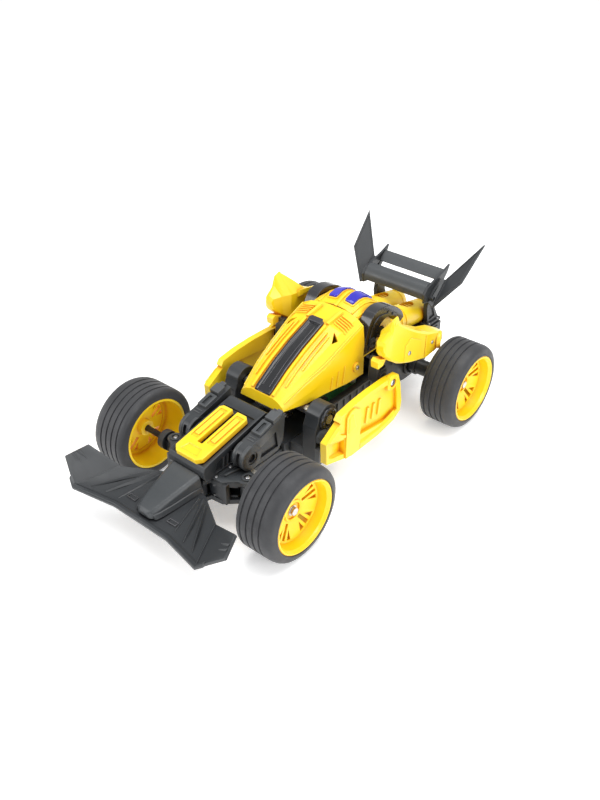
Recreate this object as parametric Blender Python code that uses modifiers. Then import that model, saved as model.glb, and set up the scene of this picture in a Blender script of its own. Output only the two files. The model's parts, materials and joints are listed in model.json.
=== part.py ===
"""Transforming robot car: a formula-style radio-controlled car whose body stands up as a robot.

Units in the design values below are millimetres; meshes are made in metres.
+X is the car's left, -Y is the front, +Z is up, and the wheels stand on Z = 0.
"""
import math

import bmesh
import bpy
from mathutils import Matrix

MM = 0.001
GAP = 0.3                                   # clearance between touching pieces

# Wheels and axles
WHEEL_RADIUS = 38.0
WHEEL_SEGMENTS = 32
RIM_RADIUS = 29.7
FRONT_AXLE_Y = -99.0
REAR_AXLE_Y = 120.5
FRONT_WHEEL = {"inner": 59.0, "width": 34.2}
REAR_WHEEL = {"inner": 66.75, "width": 32.5}
AXLE_RADIUS = 3.0
STUB_RADIUS = 2.5
KINGPIN_X = 38.0
STEERING_ARM = 14.0

# Rear drive
GEAR_MODULE = 1.0
PRESSURE_ANGLE = math.radians(25)
AXLE_TEETH = 30
MOTOR_TEETH = 12
LIFT_TEETH = 24
LIFT_PINION_TEETH = 12
MESH_SLACK = 0.25                           # extra centre distance of a gear pair
MOTOR_Y = REAR_AXLE_Y - GEAR_MODULE * (AXLE_TEETH + MOTOR_TEETH) / 2 - MESH_SLACK

# Joint axes that run along X, as (y, z)
HIP = (-20.0, 60.0)
SHOULDER = (84.0, 82.0)
ELBOW = (44.0, 68.0)
CANOPY_HINGE = (97.0, 98.0)
WING_HINGE = (152.0, 96.0)
DOOR_HINGE = (72.5, 19.5)
LIFT_DISTANCE = GEAR_MODULE * (LIFT_TEETH + LIFT_PINION_TEETH) / 2 + MESH_SLACK
LIFT_DIRECTION = math.radians(-65)
LIFT_MOTOR = (HIP[0] + LIFT_DISTANCE * math.cos(LIFT_DIRECTION),
              HIP[1] + LIFT_DISTANCE * math.sin(LIFT_DIRECTION))
SHAFT_RADIUS = 4.0
SHOULDER_PIN = 5.0
ELBOW_PIN = 3.0

# Colours of the moulded plastics and metals: colour, roughness, metallic
FINISHES = {
    "yellow": ((0.95, 0.72, 0.02), 0.4, 0.0),
    "black": ((0.035, 0.037, 0.04), 0.45, 0.0),
    "grey": ((0.09, 0.095, 0.10), 0.5, 0.0),
    "rubber": ((0.03, 0.03, 0.032), 0.8, 0.0),
    "blue": ((0.05, 0.04, 0.75), 0.12, 0.0),
    "steel": ((0.62, 0.63, 0.65), 0.3, 1.0),
    "nylon": ((0.85, 0.84, 0.80), 0.5, 0.0),
    "board": ((0.02, 0.28, 0.10), 0.5, 0.0),
}

for old in list(bpy.data.objects):
    bpy.data.objects.remove(old, do_unlink=True)

parts = bpy.data.collections.new("transforming_robot_car")
cutters = bpy.data.collections.new("cutters")
bpy.context.scene.collection.children.link(parts)
bpy.context.scene.collection.children.link(cutters)

AXES = {"X": Matrix(((0, 0, 1), (1, 0, 0), (0, 1, 0))).to_4x4(),
        "Y": Matrix(((0, 1, 0), (0, 0, 1), (1, 0, 0))).to_4x4(),
        "Z": Matrix.Identity(4)}


# ---------------------------------------------------------------- helpers
def finish(obj, kind):
    """Give an object its own Principled material."""
    colour, roughness, metallic = FINISHES[kind]
    material = bpy.data.materials.new(obj.name + "_" + kind)
    material.use_nodes = True
    shader = material.node_tree.nodes["Principled BSDF"]
    shader.inputs["Base Color"].default_value = (*colour, 1.0)
    shader.inputs["Roughness"].default_value = roughness
    shader.inputs["Metallic"].default_value = metallic
    obj.data.materials.clear()
    obj.data.materials.append(material)
    return obj


def add_mesh(name, bm, collection=parts):
    """Turn a bmesh whose points are in millimetres into an object."""
    bmesh.ops.scale(bm, vec=(MM, MM, MM), verts=bm.verts)
    bmesh.ops.recalc_face_normals(bm, faces=bm.faces)
    mesh = bpy.data.meshes.new(name)
    bm.to_mesh(mesh)
    bm.free()
    obj = bpy.data.objects.new(name, mesh)
    collection.objects.link(obj)
    return obj


def box(name, low, high):
    """A box between two corners."""
    bm = bmesh.new()
    bmesh.ops.create_cube(bm, size=1.0)
    size = [b - a for a, b in zip(low, high)]
    centre = [(a + b) / 2 for a, b in zip(low, high)]
    bmesh.ops.scale(bm, vec=size, verts=bm.verts)
    bmesh.ops.translate(bm, vec=centre, verts=bm.verts)
    return add_mesh(name, bm)


def rod(name, axis, centre, radius, start, end, end_radius=None, segments=16):
    """A cylinder or cone along an axis; centre holds the two other coordinates."""
    bm = bmesh.new()
    bmesh.ops.create_cone(bm, cap_ends=True, segments=segments, radius1=radius,
                          radius2=radius if end_radius is None else end_radius, depth=end - start)
    bmesh.ops.translate(bm, vec=(*centre, (start + end) / 2), verts=bm.verts)
    bmesh.ops.transform(bm, matrix=AXES[axis], verts=bm.verts)
    return add_mesh(name, bm)


def circle(centre, radius, segments=16, start=0.0, turn=2 * math.pi):
    """Points round a circle, or along an arc when turn is less than a full turn."""
    count = segments if abs(turn) >= 2 * math.pi - 1e-6 else segments + 1
    return [(centre[0] + radius * math.cos(start + turn * i / segments),
             centre[1] + radius * math.sin(start + turn * i / segments)) for i in range(count)]


def prism(name, outline, axis, start, end, holes=()):
    """A flat outline with holes, extruded along an axis: X takes (y, z), Z takes (x, y)."""
    curve = bpy.data.curves.new(name, "CURVE")
    curve.dimensions = "2D"
    curve.fill_mode = "BOTH"
    curve.extrude = (end - start) / 2 * MM
    for loop in (outline, *holes):
        spline = curve.splines.new("POLY")
        spline.points.add(len(loop) - 1)
        spline.use_cyclic_u = True
        for point, (u, v) in zip(spline.points, loop):
            point.co = (u * MM, v * MM, 0, 1)
    drawn = bpy.data.objects.new(name + "_outline", curve)
    parts.objects.link(drawn)
    bpy.context.view_layer.update()
    mesh = bpy.data.meshes.new_from_object(drawn.evaluated_get(bpy.context.evaluated_depsgraph_get()))
    bpy.data.objects.remove(drawn, do_unlink=True)
    bm = bmesh.new()
    bm.from_mesh(mesh)
    bpy.data.meshes.remove(mesh)
    bmesh.ops.remove_doubles(bm, verts=bm.verts, dist=1e-6)
    bmesh.ops.scale(bm, vec=(1 / MM, 1 / MM, 1 / MM), verts=bm.verts)
    bmesh.ops.translate(bm, vec=(0, 0, (start + end) / 2), verts=bm.verts)
    bmesh.ops.transform(bm, matrix=AXES[axis], verts=bm.verts)
    return add_mesh(name, bm)


def loft(name, sections):
    """A closed solid through sections with equal numbers of points."""
    bm = bmesh.new()
    rings = [[bm.verts.new(p) for p in section] for section in sections]
    count = len(rings[0])
    for near, far in zip(rings, rings[1:]):
        for i in range(count):
            j = (i + 1) % count
            bm.faces.new((near[i], near[j], far[j], far[i]))
    bm.faces.new(rings[0])
    bm.faces.new(list(reversed(rings[-1])))
    return add_mesh(name, bm)


def shell(name, rows, thickness):
    """A curved sheet through rows of points, mirrored at X = 0 and made solid inwards."""
    bm = bmesh.new()
    grid = [[bm.verts.new(p) for p in row] for row in rows]
    for near, far in zip(grid, grid[1:]):
        for i in range(len(near) - 1):
            bm.faces.new((near[i], near[i + 1], far[i + 1], far[i]))
    obj = add_mesh(name, bm)
    if obj.data.polygons[0].normal.z < 0:
        obj.data.flip_normals()
    half = obj.modifiers.new("Mirror", "MIRROR")
    half.merge_threshold = 1e-5
    half.use_clip = True
    solid = obj.modifiers.new("Solidify", "SOLIDIFY")
    solid.thickness = thickness * MM
    solid.offset = -1
    solid.use_even_offset = True
    solid.thickness_clamp = 0
    return obj


def turned(name, profile, centre, side):
    """A closed profile of (radius, offset) turned about an axle; offset runs outwards on that side."""
    mesh = bpy.data.meshes.new(name)
    points = [(radius * MM, 0, offset * MM) for radius, offset in profile]
    count = len(points)
    mesh.from_pydata(points, [(i, (i + 1) % count) for i in range(count)], [])
    obj = bpy.data.objects.new(name, mesh)
    parts.objects.link(obj)
    obj.location = [value * MM for value in centre]
    obj.rotation_euler = (0, side * math.pi / 2, 0)
    screw = obj.modifiers.new("Screw", "SCREW")
    screw.steps = WHEEL_SEGMENTS
    screw.render_steps = WHEEL_SEGMENTS
    screw.use_merge_vertices = True
    screw.merge_threshold = 1e-5
    return obj


def boolean(target, tool, operation):
    """Cut or join with a tool that stays hidden among the cutters."""
    for collection in list(tool.users_collection):
        collection.objects.unlink(tool)
    cutters.objects.link(tool)
    tool.name = tool.name + "_tool"
    tool.hide_render = True
    tool.display_type = "WIRE"
    step = target.modifiers.new(operation.title(), "BOOLEAN")
    step.operation = operation
    step.solver = "EXACT"
    step.object = tool
    return target


def cut(target, *tools):
    for tool in tools:
        boolean(target, tool, "DIFFERENCE")
    return target


def join(target, *tools):
    for tool in tools:
        boolean(target, tool, "UNION")
    return target


def bevel(obj, width, segments=1):
    """Round the sharp edges of a piece."""
    edge = obj.modifiers.new("Bevel", "BEVEL")
    edge.width = width * MM
    edge.segments = segments
    edge.limit_method = "ANGLE"
    edge.angle_limit = math.radians(40)
    return obj


def mirrored(points):
    """A symmetric outline from its left half, listed from the middle outwards and round."""
    return list(points) + [(-x, y) for x, y in reversed(points) if x > 0]


def gear_outline(teeth, centre, phase):
    """Involute teeth with one tooth centred on the direction phase."""
    pitch = GEAR_MODULE * teeth / 2
    base = pitch * math.cos(PRESSURE_ANGLE)
    tip = pitch + 0.8 * GEAR_MODULE
    root = pitch - 1.1 * GEAR_MODULE

    def half_angle(radius):
        def involute(r):
            angle = math.acos(min(1.0, base / r))
            return math.tan(angle) - angle
        return math.pi / (2 * teeth) - 0.06 / pitch + involute(pitch) - involute(max(radius, base))

    points = []
    for tooth in range(teeth):
        middle = phase + 2 * math.pi * tooth / teeth
        for radius, sign in ((root, -1), (pitch, -1), (tip, -1), (tip, 1), (pitch, 1), (root, 1)):
            angle = middle + sign * half_angle(radius)
            points.append((centre[0] + radius * math.cos(angle), centre[1] + radius * math.sin(angle)))
    return points


# ---------------------------------------------------------------- wheels
def make_wheel(name, wheel, axle_y, side, bore):
    """A dished rim and its tyre. Offsets run from the wheel's inner face outwards."""
    width = wheel["width"]
    hub_back = width - 22
    web = width - 12
    centre = (side * wheel["inner"], axle_y, WHEEL_RADIUS)
    rim = [(RIM_RADIUS, width - 1), (RIM_RADIUS, 1), (28.0, 1), (27.6, web - 2), (6.5, web - 3),
           (6.5, hub_back), (bore, hub_back), (bore, web + 3), (7.0, web + 3), (7.5, web),
           (26.5, web + 1), (28.3, width - 1)]
    tyre = [(WHEEL_RADIUS, width - 5), (WHEEL_RADIUS, 5), (36.8, 1.6), (34.0, 0), (RIM_RADIUS + GAP, 0.4),
            (RIM_RADIUS + GAP, width - 0.4), (34.0, width), (36.8, width - 1.6)]
    finish(turned("rim_" + name, rim, centre, side), "yellow")
    finish(turned("tyre_" + name, tyre, centre, side), "rubber")


def make_rear_axle():
    half = REAR_WHEEL["inner"] + REAR_WHEEL["width"] - 9.5
    rear = (REAR_AXLE_Y, WHEEL_RADIUS)
    finish(rod("axle_shaft", "X", rear, AXLE_RADIUS, -half, half), "steel")
    toward_motor = math.pi
    bore = circle(rear, AXLE_RADIUS + GAP)
    finish(prism("axle_gear", gear_outline(AXLE_TEETH, rear, toward_motor), "X", -4, 4, [bore]), "nylon")
    motor = (MOTOR_Y, WHEEL_RADIUS)
    pinion = prism("motor_pinion", gear_outline(MOTOR_TEETH, motor, math.pi / MOTOR_TEETH), "X", -4.5, 4.5)
    join(pinion, rod("motor_pinion_shaft", "X", motor, 1.5, -9, 4.8, segments=8))
    finish(pinion, "steel")
    for side, suffix in ((1, "rear_left"), (-1, "rear_right")):
        make_wheel(suffix, REAR_WHEEL, REAR_AXLE_Y, side, AXLE_RADIUS + GAP)


# ---------------------------------------------------------------- chassis
def make_chassis():
    tub = box("chassis_tub", (-30, 2, 18), (30, 86, 50))
    join(tub, box("tub_nose", (-22, -39.7, 18), (22, 3, 33)))
    rail = [(80, 30), (80, 61), (168, 61), (168, 50), (140, 24), (112, 24)]
    hole = circle((REAR_AXLE_Y, WHEEL_RADIUS), 8.0)
    for side in (1, -1):
        inner, outer = sorted((side * 29.0, side * 33.0))
        join(tub, prism("tub_rail", rail, "X", inner, outer, [hole]))
    join(tub, box("tub_deck", (-31, 83, 58.5), (31, 168, 61)))
    cut(tub, box("battery_bay", (-20, 2.5, 12), (20, 70, 36)),
        box("board_bay", (-26, 6, 39), (26, 82, 55)),
        box("door_recess", (-24, 0, 12), (24, 76, 20.6)),
        box("switch_slot", (8, 77.6, 12), (12.6, 84.4, 24)))
    finish(tub, "black")
    finish(bevel(box("battery_pack", (-17, 6, 21.6), (17, 66, 35)), 1.5), "blue")
    finish(box("circuit_board", (-22, 12, 40), (22, 60, 41.6)), "board")
    speaker = rod("speaker", "Z", (0, 71), 9, 39.4, 44, segments=20)
    finish(speaker, "steel")

    door = box("battery_door", (-23.4, 0.6, 18), (23.4, 70.8, 20))
    join(door, rod("door_barrel", "X", DOOR_HINGE, 1.0, -15, 15, segments=8),
         box("door_lip", (-15, 70.5, 18.6), (15, 72.6, 20)))
    finish(door, "black")
    switch = box("power_switch", (8.5, 78.0, 16.6), (12.1, 80.2, 23))
    finish(switch, "grey")


def make_gearcase():
    """Closed case round the rear gear pair, with the axle housings on both sides."""
    rear = (REAR_AXLE_Y, WHEEL_RADIUS)
    motor = (MOTOR_Y, WHEEL_RADIUS)
    case = box("gearcase", (-8, 87, 19), (8, 140, 57.8))
    join(case, rod("housing", "X", rear, 7.0, -60, 60))
    cut(case, box("gear_room", (-5.2, 90, 20.8), (5.2, 138.2, 56)),
        rod("axle_bore", "X", rear, AXLE_RADIUS + 0.4, -70, 70),
        rod("motor_bore", "X", motor, 2.2, -12, 0))
    finish(case, "black")
    motor_body = rod("drive_motor", "X", motor, 9.5, -28.6, -9.4, segments=20)
    finish(motor_body, "steel")
    lift = rod("lift_motor", "X", LIFT_MOTOR, 7.5, -27, -6.5, segments=20)
    finish(lift, "steel")


def make_front_frame():
    """Lower and upper arms that carry the kingpins, joined by a front wall and two cheeks."""
    def arm_outline(rear):
        tip = circle((KINGPIN_X, FRONT_AXLE_Y), 6, 8, -math.pi / 2, math.pi)
        return mirrored([(15, -122), (17, -116.5), (27, -115.5), *tip, (24, -86), (20, -78), (20, rear)])

    pin_hole = circle((KINGPIN_X, FRONT_AXLE_Y), 2.4)
    holes = [pin_hole, [(-x, y) for x, y in pin_hole]]
    frame = prism("front_frame", arm_outline(-40), "Z", 24, 28, holes)
    join(frame, prism("upper_arm", arm_outline(-50), "Z", 40, 44, holes),
         box("front_wall", (-14.5, -122.3, 22), (14.5, -118, 43)))
    for side in (1, -1):
        inner, outer = sorted((side * 15.0, side * 19.5))
        wing = sorted((side * 14.0, side * 31.0))
        join(frame, box("cheek", (inner, -77, 27), (outer, -51, 41)),
             box("side_wall", (wing[0], -115.2, 25), (wing[1], -111.0, 43)))
    finish(frame, "black")
    finish(bevel(box("steering_servo", (-13, -76, 28.4), (13, -52, 39.6)), 0.8), "grey")

    rack = box("steering_rack", (-41.5, -87, 35.6), (41.5, -83, 38.6))
    for side in (1, -1):
        pin = (side * KINGPIN_X, FRONT_AXLE_Y + STEERING_ARM)
        join(rack, rod("rack_pin", "Z", pin, 1.5, 30.2, 36.5, segments=12))
    finish(rack, "nylon")
    for side, suffix in ((1, "left"), (-1, "right")):
        make_knuckle(suffix, side)
        make_wheel("front_" + suffix, FRONT_WHEEL, FRONT_AXLE_Y, side, STUB_RADIUS + GAP)


def make_knuckle(suffix, side):
    """Kingpin, forked steering arm and stub axle in one moulding."""
    slot_half = 1.9
    x = side * KINGPIN_X
    arm_end = FRONT_AXLE_Y + STEERING_ARM + 3.5
    arm = [(x - 3.6, FRONT_AXLE_Y), (x + 3.6, FRONT_AXLE_Y), (x + 3.6, arm_end), (x + slot_half, arm_end),
           (x + slot_half, arm_end - 7.5), (x - slot_half, arm_end - 7.5), (x - slot_half, arm_end),
           (x - 3.6, arm_end)]
    knuckle = rod("knuckle_" + suffix, "Z", (x, FRONT_AXLE_Y), 6, 28.4, 39.6)
    upright = sorted((side * 45.5, side * 51.0))
    bridge = sorted((side * 40.0, side * 47.0))
    stub = sorted((side * 50.0, side * 83.0))
    axle = (FRONT_AXLE_Y, WHEEL_RADIUS)
    join(knuckle, rod("kingpin", "Z", (x, FRONT_AXLE_Y), 2.0, 24.5, 45.0),
         prism("steering_arm", arm, "Z", 29.6, 35.0),
         box("bridge", (bridge[0], FRONT_AXLE_Y - 3.5, 30), (bridge[1], FRONT_AXLE_Y + 3.5, 39.2)),
         rod("upright", "X", axle, 8.0, *upright),
         rod("stub", "X", axle, STUB_RADIUS, *stub))
    finish(knuckle, "black")


# ---------------------------------------------------------------- nose, legs and front wing
def make_nose():
    base = [(-121.5, 44.3), (-124.2, 50), (-123.8, 56.4), (-57, 69.8), (-53, 67), (-51, 60), (-52, 44.3)]
    finish(bevel(prism("nose_base", base, "X", -18.5, 18.5), 1.2), "black")

    slope = math.atan2(67.7 - 57.7, 50)
    length = 54.0
    half = 14.0
    slot = 2.5
    slot_start = 15.0
    outline = [(-half, 4.0), (-half + 4, 0), (half - 4, 0), (half, 4.0), (half, length), (slot, length),
               (slot, slot_start), (-slot, slot_start), (-slot, length), (-half, length)]
    cover = prism("nose_cover", outline, "Z", 0.4, 5.4)
    cover.location = (0, -122.8 * MM, 56.9 * MM)
    cover.rotation_euler = (slope, 0, 0)
    bevel(cover, 0.9)
    finish(cover, "yellow")

    leg = [*circle((-89, 54.5), 10, 8, math.radians(250), math.radians(-130)), (-51, 74.6), (-54, 52), (-60, 45)]
    for side, suffix in ((1, "left"), (-1, "right")):
        inner, outer = sorted((side * 22.0, side * 33.5))
        finish(bevel(prism("leg_" + suffix, leg, "X", inner, outer), 1.2), "black")

    spine = [(-124.9, 15.0, 37.6, 50.0), (-150, 11.0, 34.6, 43.5), (-163, 8.5, 33.2, 39.5), (-167.5, 5.5, 32.6, 36.5)]
    sections = []
    for y, half, low, top in spine:
        sections.append([(-half, y, low), (half, y, low), (half, y, top - 1.5), (half - 1.8, y, top),
                         (-half + 1.8, y, top), (-half, y, top - 1.5)])
    finish(loft("wing_spine", sections), "grey")


def make_front_wing():
    """A folded sheet: flat middle, swept front edge, and two raised outer plates."""
    front = [(0, -170.6, 30.8), (27.3, -170.6, 30.8), (64, -179, 33.2), (83, -170, 46)]
    rear = [(0, -123.4, 36.4), (22, -127, 36.8), (49.5, -144.6, 38), (76, -152.5, 50.4)]
    wing = shell("front_wing", [rear, front], 3.0)
    finish(wing, "black")


# ---------------------------------------------------------------- robot torso
def chest_row(y, crown, ridge, side, foot):
    """Half a cross-section from the middle down to the lower edge."""
    return [(0, y, crown[0]), (ridge[0], y, ridge[1]), (crown[1], y, crown[2]), (side[0], y, side[1]),
            (foot[0], y, foot[1])]


def make_torso():
    """The chest's rows give crown height, ridge, shoulder, side and foot at each station."""
    rows = [
        [(0, -42, 64), (10, -42, 64), (15, -42, 64), (19, -42, 64), (21, -42, 64)],
        chest_row(-41, (73, 17, 71.0), (11.5, 73), (21, 69), (22, 65)),
        chest_row(-20, (87, 20, 84.5), (11.5, 87), (26, 78), (28.5, 65)),
        chest_row(0, (97.5, 22, 94.0), (10.5, 97.5), (29.5, 85), (31, 65)),
        chest_row(27, (108.5, 24, 105.5), (8.5, 108.5), (32, 95), (33, 62.5)),
        [(0, 46, 112), (10, 46, 112), (24, 46, 110), (33, 46, 101), (34, 42, 62.5)],
    ]
    chest = shell("chest_shell", rows, 2.4)
    finish(chest, "yellow")

    channel = []
    for y, height, half in ((26.5, 108.3, 7.4), (0, 97.5, 7.6), (-20, 87, 7.8), (-38, 75.3, 8.0)):
        low = height + 0.4
        top = height + 1.8
        channel.append([(-half, y, low), (half, y, low), (half, y, top), (-half, y, top)])
    finish(loft("chest_channel", channel), "black")

    frame = box("torso_frame", (-17, -8, 63), (17, 94, 66))
    lug_outline = [*circle(HIP, 8, 10, math.radians(150), math.radians(210)), (-10, 66), (-26, 66)]
    hip_hole = circle(HIP, SHAFT_RADIUS + GAP)
    for inner, outer in ((8, 12), (-12, -8)):
        join(frame, prism("hip_lug", lug_outline, "X", inner, outer, [hip_hole]))
    join(frame, box("lug_plate", (-12, -20, 64.6), (12, -6, 66)))
    cut(frame, box("gear_window", (-7, -40, 50), (7, -3.5, 80)))
    finish(frame, "black")

    shaft = rod("hip_shaft", "X", HIP, SHAFT_RADIUS, -51, 51)
    toward_pinion = LIFT_DIRECTION
    join(shaft, prism("lift_gear", gear_outline(LIFT_TEETH, HIP, toward_pinion), "X", -4, 4))
    finish(shaft, "steel")
    phase = LIFT_DIRECTION + math.pi + math.pi / LIFT_PINION_TEETH
    pinion = prism("lift_pinion", gear_outline(LIFT_PINION_TEETH, LIFT_MOTOR, phase), "X", -4.5, 4.5)
    join(pinion, rod("lift_pinion_shaft", "X", LIFT_MOTOR, 1.5, -6.2, 5, segments=8))
    finish(pinion, "steel")

    bracket = [(-34, 33.3), (-34, 60), *circle(HIP, 12, 8, math.radians(160), math.radians(-140)), (-4, 50),
               (1.5, 40), (1.5, 33.3)]
    hole = circle(HIP, SHAFT_RADIUS + 0.4)
    for side, suffix in ((1, "left"), (-1, "right")):
        inner, outer = sorted((side * 35.5, side * 49.0))
        hip = prism("hip_bracket_" + suffix, bracket, "X", inner, outer, [hole])
        foot = sorted((side * 22.3, side * 49.0))
        join(hip, box("bracket_foot", (foot[0], -34, 22), (foot[1], 1.5, 34)))
        finish(hip, "black")


def make_head_bay():
    """Box behind the chest that holds the head, open at the top under the canopy."""
    bay = box("head_bay", (-23, 46.8, 67), (23, 99, 96))
    top = [(40, 112), (40, 108), (58, 104), (80, 99), (101, 90), (101, 112)]
    cut(bay, box("bay_room", (-20.6, 49.2, 69), (20.6, 96.6, 120)),
        prism("bay_slope", top, "X", -30, 30),
        rod("shoulder_bore", "X", SHOULDER, SHOULDER_PIN + 0.4, -40, 40))
    finish(bay, "yellow")
    hook = [(45.5, 80), (50, 103), (57, 113.5), (66, 115), (80, 112.5), (96, 102), (102, 93), (96, 90),
            (88, 97), (78, 103), (69, 102), (63, 95), (62, 80)]
    for side, suffix in ((1, "left"), (-1, "right")):
        inner, outer = sorted((side * 23.6, side * 34.0))
        finish(bevel(prism("side_arch_" + suffix, hook, "X", inner, outer), 1.5), "black")

    helmet = box("helmet", (-12, 54, 74), (12, 80, 102))
    crest = [(56, 101), (56, 105), (76, 107), (78, 101)]
    join(helmet, prism("crest", crest, "X", -3, 3), box("ear_bar", (-15, 62, 78), (15, 72, 90)))
    cut(helmet, box("visor_recess", (-9, 62, 97), (9, 71, 115)))
    finish(helmet, "yellow")
    finish(bevel(box("visor", (-8.6, 62.4, 97.4), (8.6, 70.6, 101)), 0.6), "blue")


# ---------------------------------------------------------------- canopy
CANOPY_STATIONS = ((48.8, 112.2, 108.0), (56, 114.8, 108.8), (65, 117.8, 108.0), (76, 116.2, 105.2),
                   (88, 107.6, 100.4), (97, 102.0, 98.0))
CANOPY_HALF = 23.2


def canopy_point(station, x, lift=0.0):
    """A point on the dome at a half-width x; lift raises it above the surface."""
    y, crown, edge = station
    share = math.sqrt(max(0.0, 1 - (x / (CANOPY_HALF + 1.5)) ** 2))
    low = math.sqrt(1 - (CANOPY_HALF / (CANOPY_HALF + 1.5)) ** 2)
    return (x, y, edge + (crown - edge) * (share - low) / (1 - low) + lift)


def make_canopy():
    widths = (0, 5, 10, 15, 19.5, CANOPY_HALF)
    rows = [[canopy_point(station, x) for x in widths] for station in CANOPY_STATIONS]
    canopy = shell("canopy", rows, 2.0)
    finish(canopy, "yellow")
    for side, suffix in ((1, "left"), (-1, "right")):
        sections = []
        for station in CANOPY_STATIONS[1:5]:
            low = [canopy_point(station, x, 0.35) for x in (5.5, 8.5, 11.5)]
            top = [canopy_point(station, x, 1.6) for x in (11.5, 8.5, 5.5)]
            sections.append([(side * x, y, z) for x, y, z in low + top])
        finish(loft("window_" + suffix, sections), "blue")


# ---------------------------------------------------------------- arms
POD_OUTLINE = ((33, 101), (34.5, 107), (42, 113.5), (44.5, 121.5), (50, 122.5), (54, 117.5), (74, 103.5), (98, 90),
               (112, 86), (126, 77), (127, 68), (100, 64), (62, 74), (37, 90))
LINK_OUTLINE = ((38, 88.6), (50, 80.8), (51, 66), (48, 62), (41, 62), (36.5, 66))
FOREARM_OUTLINE = ((-41, 53.5), (-40, 34), (-8, 24), (30, 24), (58, 30), (60, 42), (56, 62), (52, 74), (36, 76),
                   (14, 75), (-6, 72), (-30, 68))


def make_arms():
    for side, suffix in ((1, "left"), (-1, "right")):
        inner, outer = sorted((side * 46.0, side * 62.5))
        pod = prism("shoulder_pod_" + suffix, POD_OUTLINE, "X", inner, outer)
        pin = sorted((side * 21.0, side * 47.0))
        join(pod, rod("shoulder_pin", "X", SHOULDER, SHOULDER_PIN, *pin))
        cut(pod, rod("exhaust", "Y", (74, side * 54), 5.0, 112, 135, segments=12))
        finish(pod, "yellow")
        inner, outer = sorted((side * 45.0, side * 54.5))
        link = prism("elbow_link_" + suffix, LINK_OUTLINE, "X", inner, outer)
        pin = sorted((side * 54.0, side * 64.0))
        join(link, rod("elbow_pin", "X", ELBOW, ELBOW_PIN, *pin))
        finish(link, "black")
        inner, outer = sorted((side * 58.5, side * 65.5))
        arm = prism("forearm_" + suffix, FOREARM_OUTLINE, "X", inner, outer, [circle(ELBOW, ELBOW_PIN + 0.4)])
        finish(bevel(arm, 1.0), "yellow")


# ---------------------------------------------------------------- rear body and wing
def make_rear_body():
    for side, suffix in ((1, "left"), (-1, "right")):
        x = side * 13.6
        sections = [[(u, y, v) for u, v in circle((x, z), radius)]
                    for y, z, radius in ((102.5, 77, 10.5), (108, 78, 12), (162, 68.5, 10.5), (167, 67.5, 9))]
        fairing = loft("fairing_" + suffix, sections)
        cut(fairing, box("fairing_base", (-40, 90, 40), (40, 180, 61.3)),
            rod("tail_hole", "Y", (69, x), 4.5, 150, 175, segments=12))
        finish(fairing, "yellow")
        strut = [(150, 61.4), (147, 82), (149, 92), (148.5, 97.5), (152, 100.5), (156, 98), (157, 88), (166, 61.4)]
        inner, outer = sorted((side * 25.2, side * 29.6))
        finish(prism("wing_strut_" + suffix, strut, "X", inner, outer, [circle(WING_HINGE, 1.9, 12)]), "black")


def make_rear_wing():
    plane_outline = [(133.5, 97.0), (134.5, 101.5), (138.5, 105.8), (144, 107.6), (147.5, 106), (146, 99),
                     (141, 95.2), (135.5, 94.4)]
    plane = prism("wing_plane", plane_outline, "X", -32.5, 32.5)
    plate = [(134, 92), (133, 101), (150, 109), (172, 116), (166, 107), (157, 93), (152, 91.5), (146, 92)]
    for side in (1, -1):
        inner, outer = sorted((side * 31.5, side * 33.8))
        pin = sorted((side * 23.0, side * 32.5))
        join(plane, prism("inner_plate", plate, "X", inner, outer),
             rod("hinge_pin", "X", WING_HINGE, 1.5, *pin, segments=12))
    finish(plane, "black")
    flap = [(158, 104.5), (166, 110.6), (166.8, 112.4), (165.6, 112.4), (157.4, 106.4)]
    finish(prism("wing_flap", flap, "X", -31.2, 31.2), "black")
    for side, suffix in ((1, "left"), (-1, "right")):
        foot = [(34.4, 138.5, 91), (34.4, 158.5, 107)]
        blade = [(39.4, 138.4, 88), (38.5, 159, 107), (61, 179, 140), (57.8, 152, 113)]
        bm = bmesh.new()
        verts = {p: bm.verts.new((side * p[0], p[1], p[2])) for p in foot + blade}
        bm.faces.new([verts[p] for p in (foot[0], foot[1], blade[1], blade[0])])
        bm.faces.new([verts[p] for p in blade])
        plate = add_mesh("endplate_" + suffix, bm)
        solid = plate.modifiers.new("Solidify", "SOLIDIFY")
        solid.thickness = 2.0 * MM
        solid.offset = 0
        finish(plate, "black")


# ---------------------------------------------------------------- joints
def pivot(name, place, pieces, parent=None):
    """An empty on a joint's axis that carries the pieces, and the next pivots, of one moving body."""
    empty = bpy.data.objects.new(name, None)
    empty.empty_display_size = 10 * MM
    parts.objects.link(empty)
    empty.location = [value * MM for value in place]
    if parent is not None:
        hold(empty, parent)
    for piece in pieces:
        hold(parts.objects[piece], empty)
    return empty


def hold(child, parent):
    """Parent a child without moving it."""
    bpy.context.view_layer.update()
    child.parent = parent
    child.matrix_parent_inverse = parent.matrix_world.inverted()


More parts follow.
